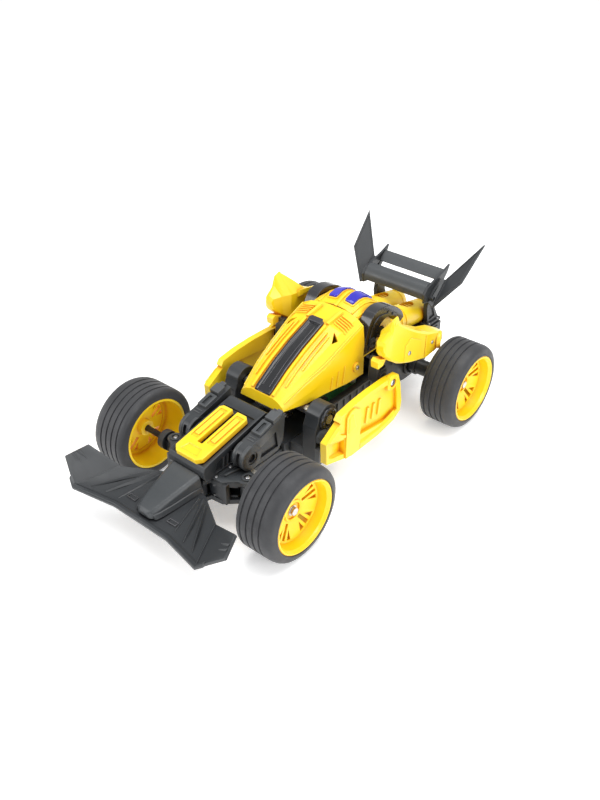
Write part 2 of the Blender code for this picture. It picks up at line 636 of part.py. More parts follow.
def add_pivots():
    torso = pivot("torso_pivot", (0, *HIP), ("chest_shell", "chest_channel", "torso_frame", "hip_shaft",
                                             "head_bay", "side_arch_left", "side_arch_right"))
    pivot("lift_pinion_pivot", (0, *LIFT_MOTOR), ("lift_pinion",))
    pivot("canopy_pivot", (0, *CANOPY_HINGE), ("canopy", "window_left", "window_right"), torso)
    pivot("head_slide", (0, 67, 88), ("helmet", "visor"), torso)
    rear = (0, REAR_AXLE_Y, WHEEL_RADIUS)
    pivot("rear_axle_pivot", rear, ("axle_shaft", "axle_gear", "rim_rear_left", "rim_rear_right",
                                    "tyre_rear_left", "tyre_rear_right"))
    pivot("motor_pinion_pivot", (0, MOTOR_Y, WHEEL_RADIUS), ("motor_pinion",))
    pivot("rack_slide", (0, -85, 37), ("steering_rack",))
    for side, suffix in ((1, "left"), (-1, "right")):
        kingpin = (side * KINGPIN_X, FRONT_AXLE_Y, WHEEL_RADIUS)
        steer = pivot("steer_pivot_" + suffix, kingpin, ("knuckle_" + suffix,))
        pivot("wheel_pivot_" + suffix, kingpin, ("rim_front_" + suffix, "tyre_front_" + suffix), steer)
        arm = pivot("shoulder_pivot_" + suffix, (side * 50, *SHOULDER),
                    ("shoulder_pod_" + suffix, "elbow_link_" + suffix), torso)
        pivot("elbow_pivot_" + suffix, (side * 60, *ELBOW), ("forearm_" + suffix,), arm)
    pivot("wing_pivot", (0, *WING_HINGE), ("wing_plane", "wing_flap", "endplate_left", "endplate_right"))
    pivot("door_pivot", (0, *DOOR_HINGE), ("battery_door",))
    pivot("switch_slide", (10.3, 79.1, 20), ("power_switch",))


make_rear_axle()
make_chassis()
make_gearcase()
make_front_frame()
make_nose()
make_front_wing()
make_torso()
make_head_bay()
make_canopy()
make_arms()
make_rear_body()
make_rear_wing()
add_pivots()
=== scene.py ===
"""Looks of the transforming robot car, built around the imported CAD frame.

Places and sizes below are in millimetres in the CAD's frame: +X is the car's left, -Y the front,
+Z up. Every piece is drawn on the +X side, and mirrored where it belongs on the other side.
"""
import json
import math

import bmesh
import bpy
from mathutils import Matrix, Vector


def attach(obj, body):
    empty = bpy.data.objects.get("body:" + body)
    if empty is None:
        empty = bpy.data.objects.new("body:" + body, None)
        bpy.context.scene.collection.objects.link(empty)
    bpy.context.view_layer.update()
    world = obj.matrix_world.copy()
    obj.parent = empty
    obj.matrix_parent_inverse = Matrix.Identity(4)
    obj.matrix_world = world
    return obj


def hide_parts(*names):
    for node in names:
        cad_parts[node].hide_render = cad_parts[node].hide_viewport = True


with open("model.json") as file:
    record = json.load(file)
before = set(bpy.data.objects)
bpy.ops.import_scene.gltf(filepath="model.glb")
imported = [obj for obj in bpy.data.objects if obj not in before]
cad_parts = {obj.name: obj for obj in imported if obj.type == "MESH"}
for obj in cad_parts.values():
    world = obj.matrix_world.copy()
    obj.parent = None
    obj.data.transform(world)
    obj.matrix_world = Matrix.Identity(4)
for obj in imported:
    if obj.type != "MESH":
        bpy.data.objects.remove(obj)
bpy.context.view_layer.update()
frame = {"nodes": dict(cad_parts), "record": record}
nodes = frame["nodes"]
MM = 0.001

# Places shared by several pieces, in millimetres
WHEEL_RADIUS = 38.0
RIM_RADIUS = 29.7
FRONT_AXLE = (-99.0, 38.0)
REAR_AXLE = (120.5, 38.0)
HIP = (-20.0, 60.0)
SHOULDER = (84.0, 82.0)
ELBOW = (44.0, 68.0)
WING_HINGE = (152.0, 96.0)
LIFT_GEAR_DISTANCE = 18.25
LIFT_GEAR_ANGLE = math.radians(-65)
LIFT_MOTOR = (HIP[0] + LIFT_GEAR_DISTANCE * math.cos(LIFT_GEAR_ANGLE),
              HIP[1] + LIFT_GEAR_DISTANCE * math.sin(LIFT_GEAR_ANGLE))


# The camera: angles in degrees, place in metres, lens in millimetres for a 36 mm sensor
CAMERA_AZIMUTH = 39.58
CAMERA_ELEVATION = 34.38
CAMERA_ROLL = 0.48
CAMERA_LENS = 38.93
CAMERA_PLACE = (0.3779, -0.4513, 0.4480)
# Area lights as (name, place, edge length, power), all aimed at the car's middle, in metres and watts
LIGHTS = (("top_light", (0.1, 0.1, 1.5), 1.2, 17.5), ("front_light", (-0.7, -1.3, 0.9), 0.8, 8.5),
          ("side_light", (1.4, -0.3, 0.8), 0.7, 10))
CAR_MIDDLE = (0, 0, 0.05)
SKY_STRENGTH = 0.6
FLOOR_HALF = 6.0
FLOOR_GLOW = 0.35


# ---------------------------------------------------------------- camera, floor and light
def make_camera():
    """The camera's place, direction and roll; the Standard view transform keeps the plastics' own colours."""
    bpy.context.scene.view_settings.view_transform = "Standard"
    azimuth, elevation, roll = (math.radians(angle) for angle in (CAMERA_AZIMUTH, CAMERA_ELEVATION,
                                                                  CAMERA_ROLL))
    back = Vector((math.sin(azimuth) * math.cos(elevation), -math.cos(azimuth) * math.cos(elevation),
                   math.sin(elevation)))
    right = Vector((math.cos(azimuth), math.sin(azimuth), 0))
    up = back.cross(right)
    rolled_right = right * math.cos(roll) + up * math.sin(roll)
    rolled_up = up * math.cos(roll) - right * math.sin(roll)
    data = bpy.data.cameras.new("camera")
    data.lens = CAMERA_LENS
    data.sensor_width = 36.0
    camera = bpy.data.objects.new("camera", data)
    bpy.context.scene.collection.objects.link(camera)
    place = Matrix((rolled_right, rolled_up, back)).transposed().to_4x4()
    place.translation = Vector(CAMERA_PLACE)
    camera.matrix_world = place
    bpy.context.scene.camera = camera


def make_floor():
    """A wide pale plane that glows a little, so that it stays brighter than the shadows on it."""
    bm = bmesh.new()
    bmesh.ops.create_grid(bm, x_segments=1, y_segments=1, size=FLOOR_HALF)
    mesh = bpy.data.meshes.new("floor")
    bm.to_mesh(mesh)
    bm.free()
    floor = bpy.data.objects.new("floor", mesh)
    bpy.context.scene.collection.objects.link(floor)
    material = bpy.data.materials.new("floor_white")
    material.use_nodes = True
    shader = material.node_tree.nodes["Principled BSDF"]
    shader.inputs["Base Color"].default_value = (0.95, 0.95, 0.95, 1)
    shader.inputs["Roughness"].default_value = 0.9
    shader.inputs["Emission Color"].default_value = (1, 1, 1, 1)
    shader.inputs["Emission Strength"].default_value = FLOOR_GLOW
    mesh.materials.append(material)


def make_lights():
    """Three soft area lights and an even white world."""
    for name, place, size, power in LIGHTS:
        data = bpy.data.lights.new(name, "AREA")
        data.shape = "SQUARE"
        data.size = size
        data.energy = power
        light = bpy.data.objects.new(name, data)
        light.location = place
        light.rotation_euler = (Vector(place) - Vector(CAR_MIDDLE)).to_track_quat("Z", "Y").to_euler()
        bpy.context.scene.collection.objects.link(light)
    world = bpy.data.worlds.new("studio")
    world.use_nodes = True
    background = world.node_tree.nodes["Background"]
    background.inputs["Color"].default_value = (1, 1, 1, 1)
    background.inputs["Strength"].default_value = SKY_STRENGTH
    bpy.context.scene.world = world


# ---------------------------------------------------------------- materials
class Surface:
    """A Principled material whose colour, roughness and bump come from procedural nodes."""

    def __init__(self, name):
        self.material = bpy.data.materials.new(name)
        self.material.use_nodes = True
        self.tree = self.material.node_tree
        self.shader = self.tree.nodes["Principled BSDF"]
        self.place = self.node("ShaderNodeTexCoord").outputs["Object"]

    def node(self, kind, **settings):
        node = self.tree.nodes.new(kind)
        for key, value in settings.items():
            setattr(node, key, value)
        return node

    def link(self, output, target):
        self.tree.links.new(output, target)

    def stretched(self, scale):
        mapping = self.node("ShaderNodeMapping")
        mapping.inputs["Scale"].default_value = scale
        self.link(self.place, mapping.inputs["Vector"])
        return mapping.outputs["Vector"]

    def noise(self, scale, detail=3.0, roughness=0.5, vector=None):
        noise = self.node("ShaderNodeTexNoise")
        noise.inputs["Scale"].default_value = scale
        noise.inputs["Detail"].default_value = detail
        noise.inputs["Roughness"].default_value = roughness
        self.link(self.place if vector is None else vector, noise.inputs["Vector"])
        return noise.outputs["Fac"]

    def ranged(self, value, low, high, to_low, to_high):
        spread = self.node("ShaderNodeMapRange")
        for socket, number in (("From Min", low), ("From Max", high), ("To Min", to_low),
                               ("To Max", to_high)):
            spread.inputs[socket].default_value = number
        self.link(value, spread.inputs["Value"])
        return spread.outputs["Result"]

    def mixed(self, factor, first, second):
        mix = self.node("ShaderNodeMix", data_type="RGBA")
        self.link(factor, mix.inputs["Factor"])
        for socket, colour in (("A", first), ("B", second)):
            target = [s for s in mix.inputs if s.name == socket and s.type == "RGBA"][0]
            if isinstance(colour, tuple):
                target.default_value = (*colour, 1)
            else:
                self.link(colour, target)
        return [s for s in mix.outputs if s.type == "RGBA"][0]

    def bump(self, height, strength, distance, normal=None):
        bump = self.node("ShaderNodeBump")
        bump.inputs["Strength"].default_value = strength
        bump.inputs["Distance"].default_value = distance
        self.link(height, bump.inputs["Height"])
        if normal is not None:
            self.link(normal, bump.inputs["Normal"])
        return bump.outputs["Normal"]


def moulded(name, colour, shade, wear_and_highlight, deep, roughness, spread, grain=0.35, coat=0.0):
    """Moulded plastic: blotches, painted shade in crevices, edges lightened as scuffing and as a painted
    highlight, fine grain and rubbed patches.
    """
    surface = Surface(name)
    blotch = surface.ranged(surface.noise(28, 4), 0.35, 0.7, 0.0, 0.55)
    # painted shade: ambient occlusion mixes crevices towards the deep colour, tinted like bounced light
    crevice = surface.node("ShaderNodeAmbientOcclusion", samples=6)
    crevice.inputs["Distance"].default_value = 0.005
    painted_shade = surface.ranged(crevice.outputs["AO"], 0.35, 0.95, 1.0, 0.0)
    base = surface.mixed(painted_shade, surface.mixed(blotch, colour, shade), deep)
    # edges are lightened by pointiness, partly as scuffing and partly as a painted highlight
    edges = surface.node("ShaderNodeNewGeometry").outputs["Pointiness"]
    edge_scuff_and_highlight = surface.ranged(edges, 0.52, 0.60, 0.0, 0.5)
    surface.link(surface.mixed(edge_scuff_and_highlight, base, wear_and_highlight), surface.shader.inputs["Base Color"])
    rubbed = surface.noise(75, 5, 0.65)
    surface.link(surface.ranged(rubbed, 0.3, 0.75, roughness - spread, roughness + spread),
                 surface.shader.inputs["Roughness"])
    fine = surface.bump(surface.noise(2600, 2), grain, 0.00006)
    surface.link(surface.bump(surface.noise(60, 2), 0.12, 0.0006, fine), surface.shader.inputs["Normal"])
    surface.shader.inputs["Coat Weight"].default_value = coat
    surface.shader.inputs["Coat Roughness"].default_value = 0.08
    return surface.material


def rubber(name):
    """Tyre rubber: grey bloom in patches, a pebbled skin and dull roughness."""
    surface = Surface(name)
    bloom = surface.ranged(surface.noise(38, 5, 0.6), 0.4, 0.72, 0.0, 0.75)
    surface.link(surface.mixed(bloom, (0.022, 0.023, 0.026), (0.042, 0.043, 0.047)),
                 surface.shader.inputs["Base Color"])
    surface.link(surface.ranged(surface.noise(120, 4), 0.3, 0.7, 0.5, 0.68),
                 surface.shader.inputs["Roughness"])
    pebbles = surface.bump(surface.noise(1500, 3), 0.4, 0.0001)
    surface.link(pebbles, surface.shader.inputs["Normal"])
    surface.shader.inputs["Sheen Weight"].default_value = 0.12
    return surface.material


def tinted(name, deep, light):
    """Clear-coated window plastic with a deep tint, and a painted reflection that pales it towards grazing
    angles.
    """
    surface = Surface(name)
    # painted reflection: the colour pales towards grazing angles
    grazing_reflection = surface.node("ShaderNodeLayerWeight")
    grazing_reflection.inputs["Blend"].default_value = 0.35
    cloud = surface.mixed(surface.ranged(surface.noise(70, 3), 0.35, 0.65, 0.0, 0.5), deep, light)
    surface.link(surface.mixed(grazing_reflection.outputs["Facing"], cloud, light), surface.shader.inputs["Base Color"])
    surface.link(surface.ranged(surface.noise(200, 3), 0.3, 0.7, 0.06, 0.14),
                 surface.shader.inputs["Roughness"])
    surface.link(surface.bump(surface.noise(90, 2), 0.1, 0.0004), surface.shader.inputs["Normal"])
    surface.shader.inputs["Coat Weight"].default_value = 0.8
    surface.shader.inputs["Coat Roughness"].default_value = 0.03
    return surface.material


def metal(name, colour, roughness):
    """Turned metal: fine rings of tool marks and a few dull spots."""
    surface = Surface(name)
    spots = surface.ranged(surface.noise(160, 5), 0.45, 0.75, 0.0, 0.6)
    dull = tuple(value * 0.6 for value in colour)
    surface.link(surface.mixed(spots, colour, dull), surface.shader.inputs["Base Color"])
    lines = surface.noise(900, 2, 0.5, surface.stretched((6.0, 1.0, 1.0)))
    surface.link(surface.ranged(lines, 0.3, 0.7, roughness - 0.08, roughness + 0.12),
                 surface.shader.inputs["Roughness"])
    surface.link(surface.bump(lines, 0.25, 0.00005), surface.shader.inputs["Normal"])
    surface.shader.inputs["Metallic"].default_value = 1.0
    return surface.material


def circuit(name):
    """Green solder mask with copper tracks showing as lighter lines."""
    surface = Surface(name)
    tracks = surface.node("ShaderNodeTexBrick")
    tracks.inputs["Scale"].default_value = 160
    tracks.inputs["Mortar Size"].default_value = 0.03
    tracks.inputs["Color1"].default_value = (0.010, 0.13, 0.05, 1)
    tracks.inputs["Color2"].default_value = (0.012, 0.16, 0.06, 1)
    tracks.inputs["Mortar"].default_value = (0.06, 0.33, 0.10, 1)
    surface.link(surface.place, tracks.inputs["Vector"])
    surface.link(tracks.outputs["Color"], surface.shader.inputs["Base Color"])
    surface.link(surface.ranged(surface.noise(90, 3), 0.3, 0.7, 0.28, 0.42),
                 surface.shader.inputs["Roughness"])
    surface.link(surface.bump(tracks.outputs["Fac"], 0.3, 0.0001), surface.shader.inputs["Normal"])
    return surface.material


# each moulded material's fourth colour lightens its edges as scuffing and as a painted highlight; its fifth
# colour is the painted shade in its crevices
YELLOW = moulded("yellow_plastic", (0.95, 0.66, 0.006), (0.90, 0.58, 0.004), (1.0, 0.74, 0.08),
                 (0.72, 0.22, 0.0), 0.36, 0.07, 0.25, 0.12)
BLACK = moulded("black_plastic", (0.017, 0.020, 0.023), (0.025, 0.028, 0.032), (0.10, 0.105, 0.11),
                (0.004, 0.004, 0.005), 0.38, 0.09)
GREY = moulded("grey_plastic", (0.035, 0.040, 0.044), (0.05, 0.055, 0.060), (0.13, 0.135, 0.14),
               (0.008, 0.009, 0.010), 0.42, 0.08)
GLOSS = moulded("gloss_black", (0.010, 0.011, 0.013), (0.016, 0.016, 0.020), (0.08, 0.08, 0.09),
                (0.003, 0.003, 0.004), 0.20, 0.06, 0.12, 0.4)
NYLON = moulded("white_nylon", (0.78, 0.77, 0.72), (0.70, 0.68, 0.60), (0.9, 0.9, 0.86), (0.45, 0.42, 0.36),
                0.45, 0.08)
WRAP = moulded("battery_wrap", (0.02, 0.10, 0.42), (0.02, 0.07, 0.32), (0.1, 0.25, 0.6), (0.01, 0.03, 0.14),
               0.25, 0.08, 0.1, 0.5)
RED = moulded("wire_red", (0.55, 0.02, 0.02), (0.45, 0.02, 0.02), (0.7, 0.1, 0.1), (0.2, 0.005, 0.005), 0.4,
              0.06)
TYRE = rubber("tyre")
# the second blue is the window's paler tone and also the painted reflection at grazing angles
BLUE = tinted("blue_window", (0.014, 0.008, 0.34), (0.03, 0.025, 0.60))
STEEL = metal("steel", (0.62, 0.62, 0.63), 0.28)
COPPER = metal("brass", (0.75, 0.52, 0.20), 0.3)
BOARD = circuit("board")

BY_SLOT = {"yellow_plastic": YELLOW, "black_plastic": BLACK, "blue_window": BLUE, "tyre": TYRE,
           "steel": STEEL, "white_nylon": NYLON, "battery_wrap": WRAP, "board": BOARD}
SLOT_OF = {material.name: slot for slot, material in BY_SLOT.items()}
SLOT_OF.update({GREY.name: "black_plastic", GLOSS.name: "black_plastic", RED.name: "battery_wrap",
                COPPER.name: "steel"})


# ---------------------------------------------------------------- shapes
def between(low, high, share):
    """Part of the way from one value to another; a value is a number, or a tuple of values."""
    if isinstance(low, (int, float)):
        return low + (high - low) * share
    return tuple(between(a, b, share) for a, b in zip(low, high))


def along_table(table, y):
    """The value at y from rows of (y, value), straight between rows and beyond the last."""
    for (y0, near), (y1, far) in zip(table, table[1:]):
        if y <= y1 or y1 == table[-1][0]:
            return between(near, far, (y - y0) / (y1 - y0))


def placed(axis, t, u, v):
    """A point from a distance along an axis and its two other coordinates."""
    return {"X": (t, u, v), "Y": (u, t, v), "Z": (u, v, t)}[axis]


def mirrored(row):
    """A row of points from the middle outwards, with its mirror image in front of it."""
    return [(-x, y, z) for x, y, z in reversed(row) if x > 0] + list(row)


class Form:
    """A visible shape in millimetres, built from closed skins."""

    def __init__(self):
        self.bm = bmesh.new()

    def skin(self, rings, capped=True):
        """Faces between rings of points; without caps the last ring joins the first."""
        loops = [[self.bm.verts.new(point) for point in ring] for ring in rings]
        pairs = list(zip(loops, loops[1:])) + ([] if capped else [(loops[-1], loops[0])])
        count = len(loops[0])
        for near, far in pairs:
            for i in range(count):
                j = (i + 1) % count
                self.bm.faces.new((near[i], near[j], far[j], far[i]))
        if capped:
            self.bm.faces.new(loops[0])
            self.bm.faces.new(list(reversed(loops[-1])))
        return self

    def net(self, grid):
        """Faces between neighbouring rows of vertices."""
        for near, far in zip(grid, grid[1:]):
            for i in range(len(near) - 1):
                self.bm.faces.new((near[i], near[i + 1], far[i + 1], far[i]))

    def sheet(self, rows, thickness):
        """A sheet through rows of points, mirrored at X = 0, that gets its thickness on the inside."""
        grid = []
        for row in rows:
            grid.append([self.bm.verts.new(point) for point in mirrored(row)])
        self.net(grid)
        self.bm.normal_update()
        if sum(face.normal.z for face in self.bm.faces) < 0:
            bmesh.ops.reverse_faces(self.bm, faces=self.bm.faces)
        self.bm.normal_update()
        bmesh.ops.solidify(self.bm, geom=self.bm.faces[:], thickness=thickness)
        return self

    def box(self, low, high):
        (x0, y0, z0), (x1, y1, z1) = low, high
        return self.skin([[(x0, y0, z), (x1, y0, z), (x1, y1, z), (x0, y1, z)] for z in (z0, z1)])

    def prism(self, axis, outline, start, end):
        """A flat outline extruded along an axis: X takes (y, z), Y takes (x, z), Z takes (x, y)."""
        return self.skin([[placed(axis, t, u, v) for u, v in outline] for t in (start, end)])

    def rod(self, axis, centre, radius, start, end, end_radius=None, segments=28):
        tip = radius if end_radius is None else end_radius
        rings = [circle(centre, r, segments) for r in (radius, tip)]
        return self.skin([[placed(axis, t, u, v) for u, v in ring] for t, ring in zip((start, end), rings)])

    def turned(self, axis, centre, profile, segments=72):
        """A closed profile of (radius, distance along the axis) turned about the axis."""
        rings = []
        for step in range(segments):
            angle = math.tau * step / segments
            rings.append([placed(axis, t, centre[0] + r * math.cos(angle), centre[1] + r * math.sin(angle))
                          for r, t in profile])
        return self.skin(rings, capped=False)

    def joined(self, other):
        """Take in another shape as separate skins."""
        mesh = bpy.data.meshes.new("joined")
        other.bm.to_mesh(mesh)
        other.bm.free()
        self.bm.from_mesh(mesh)
        bpy.data.meshes.remove(mesh)
        return self

    def raised(self, surface, outline, low, high):
        """An outline in the plan made solid between two heights over a surface."""
        return self.skin([[(x, y, surface(x, y)[2] + lift) for x, y in outline] for lift in (low, high)])

    def aimed(self, place, direction):
        """Move a shape drawn about the Z axis to a place, with that axis along a direction."""
        turn = Vector((0, 0, 1)).rotation_difference(Vector(direction)).to_matrix().to_4x4()
        bmesh.ops.transform(self.bm, matrix=Matrix.Translation(place) @ turn, verts=self.bm.verts)
        return self

    def carved(self, *tools):
        """This shape with other shapes cut out of it, one after the other."""
        result = self
        for tool in tools:
            result = cut(result, tool)
        return result

    def ribbon(self, surface, path, width, height, sunk=0.4):
        """A raised bar with sloping sides that follows a path of (x, y) over a surface."""
        points = [Vector(surface(x, y)) for x, y in path]
        rings = []
        for i, point in enumerate(points):
            along = (points[min(i + 1, len(points) - 1)] - points[max(i - 1, 0)]).normalized()
            x, y = path[i]
            slope_x = Vector(surface(x + 0.5, y)) - Vector(surface(x - 0.5, y))
            slope_y = Vector(surface(x, y + 0.5)) - Vector(surface(x, y - 0.5))
            normal = slope_x.cross(slope_y).normalized()
            side = normal.cross(along).normalized()
            low = point - normal * sunk
            top = point + normal * height
            rings.append([low - side * width / 2, low + side * width / 2, top + side * width * 0.3,
                          top - side * width * 0.3])
        return self.skin(rings)


def circle(centre, radius, segments=28, start=0.0, turn=math.tau):
    """Points round a circle, or along an arc when turn is less than a full turn."""
    count = segments if abs(turn) == math.tau else segments + 1
    return [(centre[0] + radius * math.cos(start + turn * i / segments),
             centre[1] + radius * math.sin(start + turn * i / segments)) for i in range(count)]


def loose_object(form):
    mesh = bpy.data.meshes.new("loose")
    bmesh.ops.recalc_face_normals(form.bm, faces=form.bm.faces)
    form.bm.to_mesh(mesh)
    obj = bpy.data.objects.new("loose", mesh)
    bpy.context.scene.collection.objects.link(obj)
    return obj


def cut(form, tool):
    """One shape less another."""
    target = loose_object(form)
    cutter = loose_object(tool)
    step = target.modifiers.new("carve", "BOOLEAN")
    step.operation = "DIFFERENCE"
    step.solver = "EXACT"
    step.use_self = True
    step.object = cutter
    graph = bpy.context.evaluated_depsgraph_get()
    mesh = bpy.data.meshes.new_from_object(target.evaluated_get(graph))
    result = Form()
    result.bm.from_mesh(mesh)
    for used in (target, cutter):
        bpy.data.objects.remove(used, do_unlink=True)
    bpy.data.meshes.remove(mesh)
    return result


def soften(obj, width, angle=30.0, segments=2):
    """Rounded edges and even shading; Weld first, so that the bevel meets whole edges."""
    weld = obj.modifiers.new("Weld", "WELD")
    weld.merge_threshold = 0.00002
    if width > 0:
        edge = obj.modifiers.new("Bevel", "BEVEL")
        edge.width = width * MM
        edge.segments = segments
        edge.limit_method = "ANGLE"
        edge.angle_limit = math.radians(angle)
        edge.use_clamp_overlap = True
    even = obj.modifiers.new("WeightedNormal", "WEIGHTED_NORMAL")
    even.keep_sharp = True


def piece(name, form, material, body, replaces=(), side=1, width=0.35, angle=30.0, thickness=0.0):
    """Turn a shape into a visible piece that rides on a body; side -1 mirrors it."""
    if side < 0:
        bmesh.ops.scale(form.bm, vec=(-1, 1, 1), verts=form.bm.verts)
    bmesh.ops.scale(form.bm, vec=(MM, MM, MM), verts=form.bm.verts)
    bmesh.ops.recalc_face_normals(form.bm, faces=form.bm.faces)
    mesh = bpy.data.meshes.new(name)
    form.bm.to_mesh(mesh)
    form.bm.free()
    mesh.shade_smooth()
    mesh.set_sharp_from_angle(angle=math.radians(angle))
    mesh.materials.append(material)
    obj = bpy.data.objects.new(name, mesh)
    bpy.context.scene.collection.objects.link(obj)
    if thickness:
        if sum(polygon.normal.z for polygon in mesh.polygons) < 0:
            mesh.flip_normals()
        solid = obj.modifiers.new("Solidify", "SOLIDIFY")
        solid.thickness = thickness * MM
        solid.offset = -1
    soften(obj, width, angle)
    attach(obj, body)
    if replaces:
        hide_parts(*replaces)
    return obj


def both(name, draw, material, body, replaces=(), **options):
    """The same shape on the left and, mirrored, on the right. Bodies and nodes get the side's word."""
    for side, word in ((1, "left"), (-1, "right")):
        own_body = body.replace("SIDE", word)
        own_nodes = [node.replace("SIDE", word) for node in replaces]
        piece(name + "_" + word, draw(), material, own_body, own_nodes, side, **options)


def screws(axis, out, *places):
    """Pan-head screws with cross recesses, each with its centre, the face that it stands on and its radius.

    out is +1 or -1: the way along the axis that the heads point.
    """
    form = Form()
    for (u, v), face, radius in places:
        top = face + out * radius * 0.55
        rim = face + out * radius * 0.3
        head = Form().skin([[placed(axis, t, a, b) for a, b in circle((u, v), r, 20)]
                            for t, r in ((face - out * 0.3, radius), (rim, radius), (top, radius * 0.7))])
        bar = radius * 0.16
        reach = radius * 0.62
        cross = Form()
        for half_u, half_v in ((bar, reach), (reach, bar)):
            outline = [(u - half_u, v - half_v), (u + half_u, v - half_v), (u + half_u, v + half_v),
                       (u - half_u, v + half_v)]
            cross.prism(axis, outline, top - out * radius * 0.3, top + out * 1.0)
        form.joined(head.carved(cross))
    return form


def nut(form, centre, start, end, radius):
    """A hexagon nut with a round washer face, on an axle along X."""
    form.rod("X", centre, radius * 1.25, start, start + (end - start) * 0.2)
    return form.prism("X", circle(centre, radius, 6), start + (end - start) * 0.2, end)


# ---------------------------------------------------------------- wheels
def tyre_profile(inner, width):
    """The tyre's section: four grooves in the tread, round shoulders and a raised bead ring."""
    out = inner + width
    groove_half = 0.55
    depth = 1.0
    profile = [(RIM_RADIUS + 0.2, out - 0.6), (RIM_RADIUS + 0.4, out), (31.2, out + 0.1), (31.7, out - 0.4),
               (34.4, out - 0.9), (36.3, out - 2.2), (37.4, out - 4.3), (37.9, out - 7.0)]
    for share in (0.68, 0.51, 0.34, 0.17):
        middle = inner + width * share
        profile += [(WHEEL_RADIUS, middle + groove_half + 0.25), (WHEEL_RADIUS - depth, middle + groove_half),
                    (WHEEL_RADIUS - depth, middle - groove_half), (WHEEL_RADIUS, middle - groove_half - 0.25)]
    profile += [(37.9, inner + 3.2), (37.2, inner + 1.6), (35.8, inner + 0.5), (33.5, inner),
                (31.0, inner + 0.2), (RIM_RADIUS + 0.4, inner + 0.2), (RIM_RADIUS + 0.2, inner + 0.8)]
    return profile


def rim_form(centre, inner, width, bore):
    """A deep-dish rim: barrel, lip, five solid webs and five slotted spoke groups round the hub."""
    out = inner + width
    face = out - 8.5
    barrel = Form().turned("X", centre, [
        (RIM_RADIUS, out - 0.6), (RIM_RADIUS, inner + 0.4), (27.9, inner + 0.4), (27.4, inner + 4),
        (27.2, face - 5.4), (24.0, face - 5.2), (24.2, face - 1.8), (25.6, face + 0.6), (26.4, out - 2.6),
        (27.6, out - 1.2), (28.2, out - 0.1), (29.0, out)], 96)
    dish = Form().turned("X", centre, [(24.6, face - 1.0), (24.6, face - 4.6), (7.0, face - 8.6),
                                       (bore, face - 8.6), (bore, face - 4.2), (7.2, face - 4.6)], 80)
    windows = Form()
    for sector in range(5):
        turn = math.tau * sector / 5 + math.radians(18)
        for outline in (((10.5, -1.5), (22.8, -1.7), (22.8, 1.7), (10.5, 1.5)),
                        ((14.5, 3.6), (22.4, 4.6), (21.4, 8.6)), ((14.5, -3.6), (21.4, -8.6), (22.4, -4.6))):
            ring = [(centre[0] + r * math.cos(turn) - s * math.sin(turn),
                     centre[1] + r * math.sin(turn) + s * math.cos(turn)) for r, s in outline]
            windows.prism("X", ring, face - 14, face + 4)
    barrel.joined(dish.carved(windows))
    barrel.turned("X", centre, [(8.8, face - 4.9), (8.4, face - 3.4), (6.9, face - 3.2), (6.6, face - 4.9)],
                  40)
    barrel.turned("X", centre, [(6.4, inner + width - 22), (bore, inner + width - 22), (bore, face - 8.0),
                                (6.6, face - 8.0)], 32)
    return barrel


def make_wheels():
    """Tyres, rims and wheel nuts, front and rear."""
    for end, centre, inner, width, bore in (("front", FRONT_AXLE, 59.0, 34.2, 2.8),
                                                      ("rear", REAR_AXLE, 66.75, 32.5, 3.3)):
        body = "wheel_front_SIDE" if end == "front" else "rear_axle"
        both("tyre_look_" + end, lambda: Form().turned("X", centre, tyre_profile(inner, width), 112), TYRE,
             body, ["tyre_" + end + "_SIDE"], width=0.12, angle=50)
        both("rim_look_" + end, lambda: rim_form(centre, inner, width, bore), YELLOW, body,
             ["rim_" + end + "_SIDE"], width=0.25, angle=32)
        face = inner + width - 8.5
        both("wheel_nut_" + end, lambda: nut(Form(), centre, face - 4.3, face - 1.4, 3.4), STEEL, body,
             width=0.15)


# ---------------------------------------------------------------- nose, front wing and legs
WING_REAR = ((0, -123.4, 36.9), (22, -127, 37.2), (49.5, -144.6, 38.5), (76, -152.5, 50.8))
WING_FRONT = ((0, -170.6, 31.3), (27.3, -170.6, 31.3), (64, -179, 33.7), (83, -170, 46.4))


def wing_point(u, v):
    """A point of the front wing: u runs 0 to 3 from the middle outwards, v from the rear to the front."""
    column = min(int(u), 2)
    rear, front = (between(edge[column], edge[column + 1], u - column) for edge in (WING_REAR, WING_FRONT))
    return between(rear, front, v)


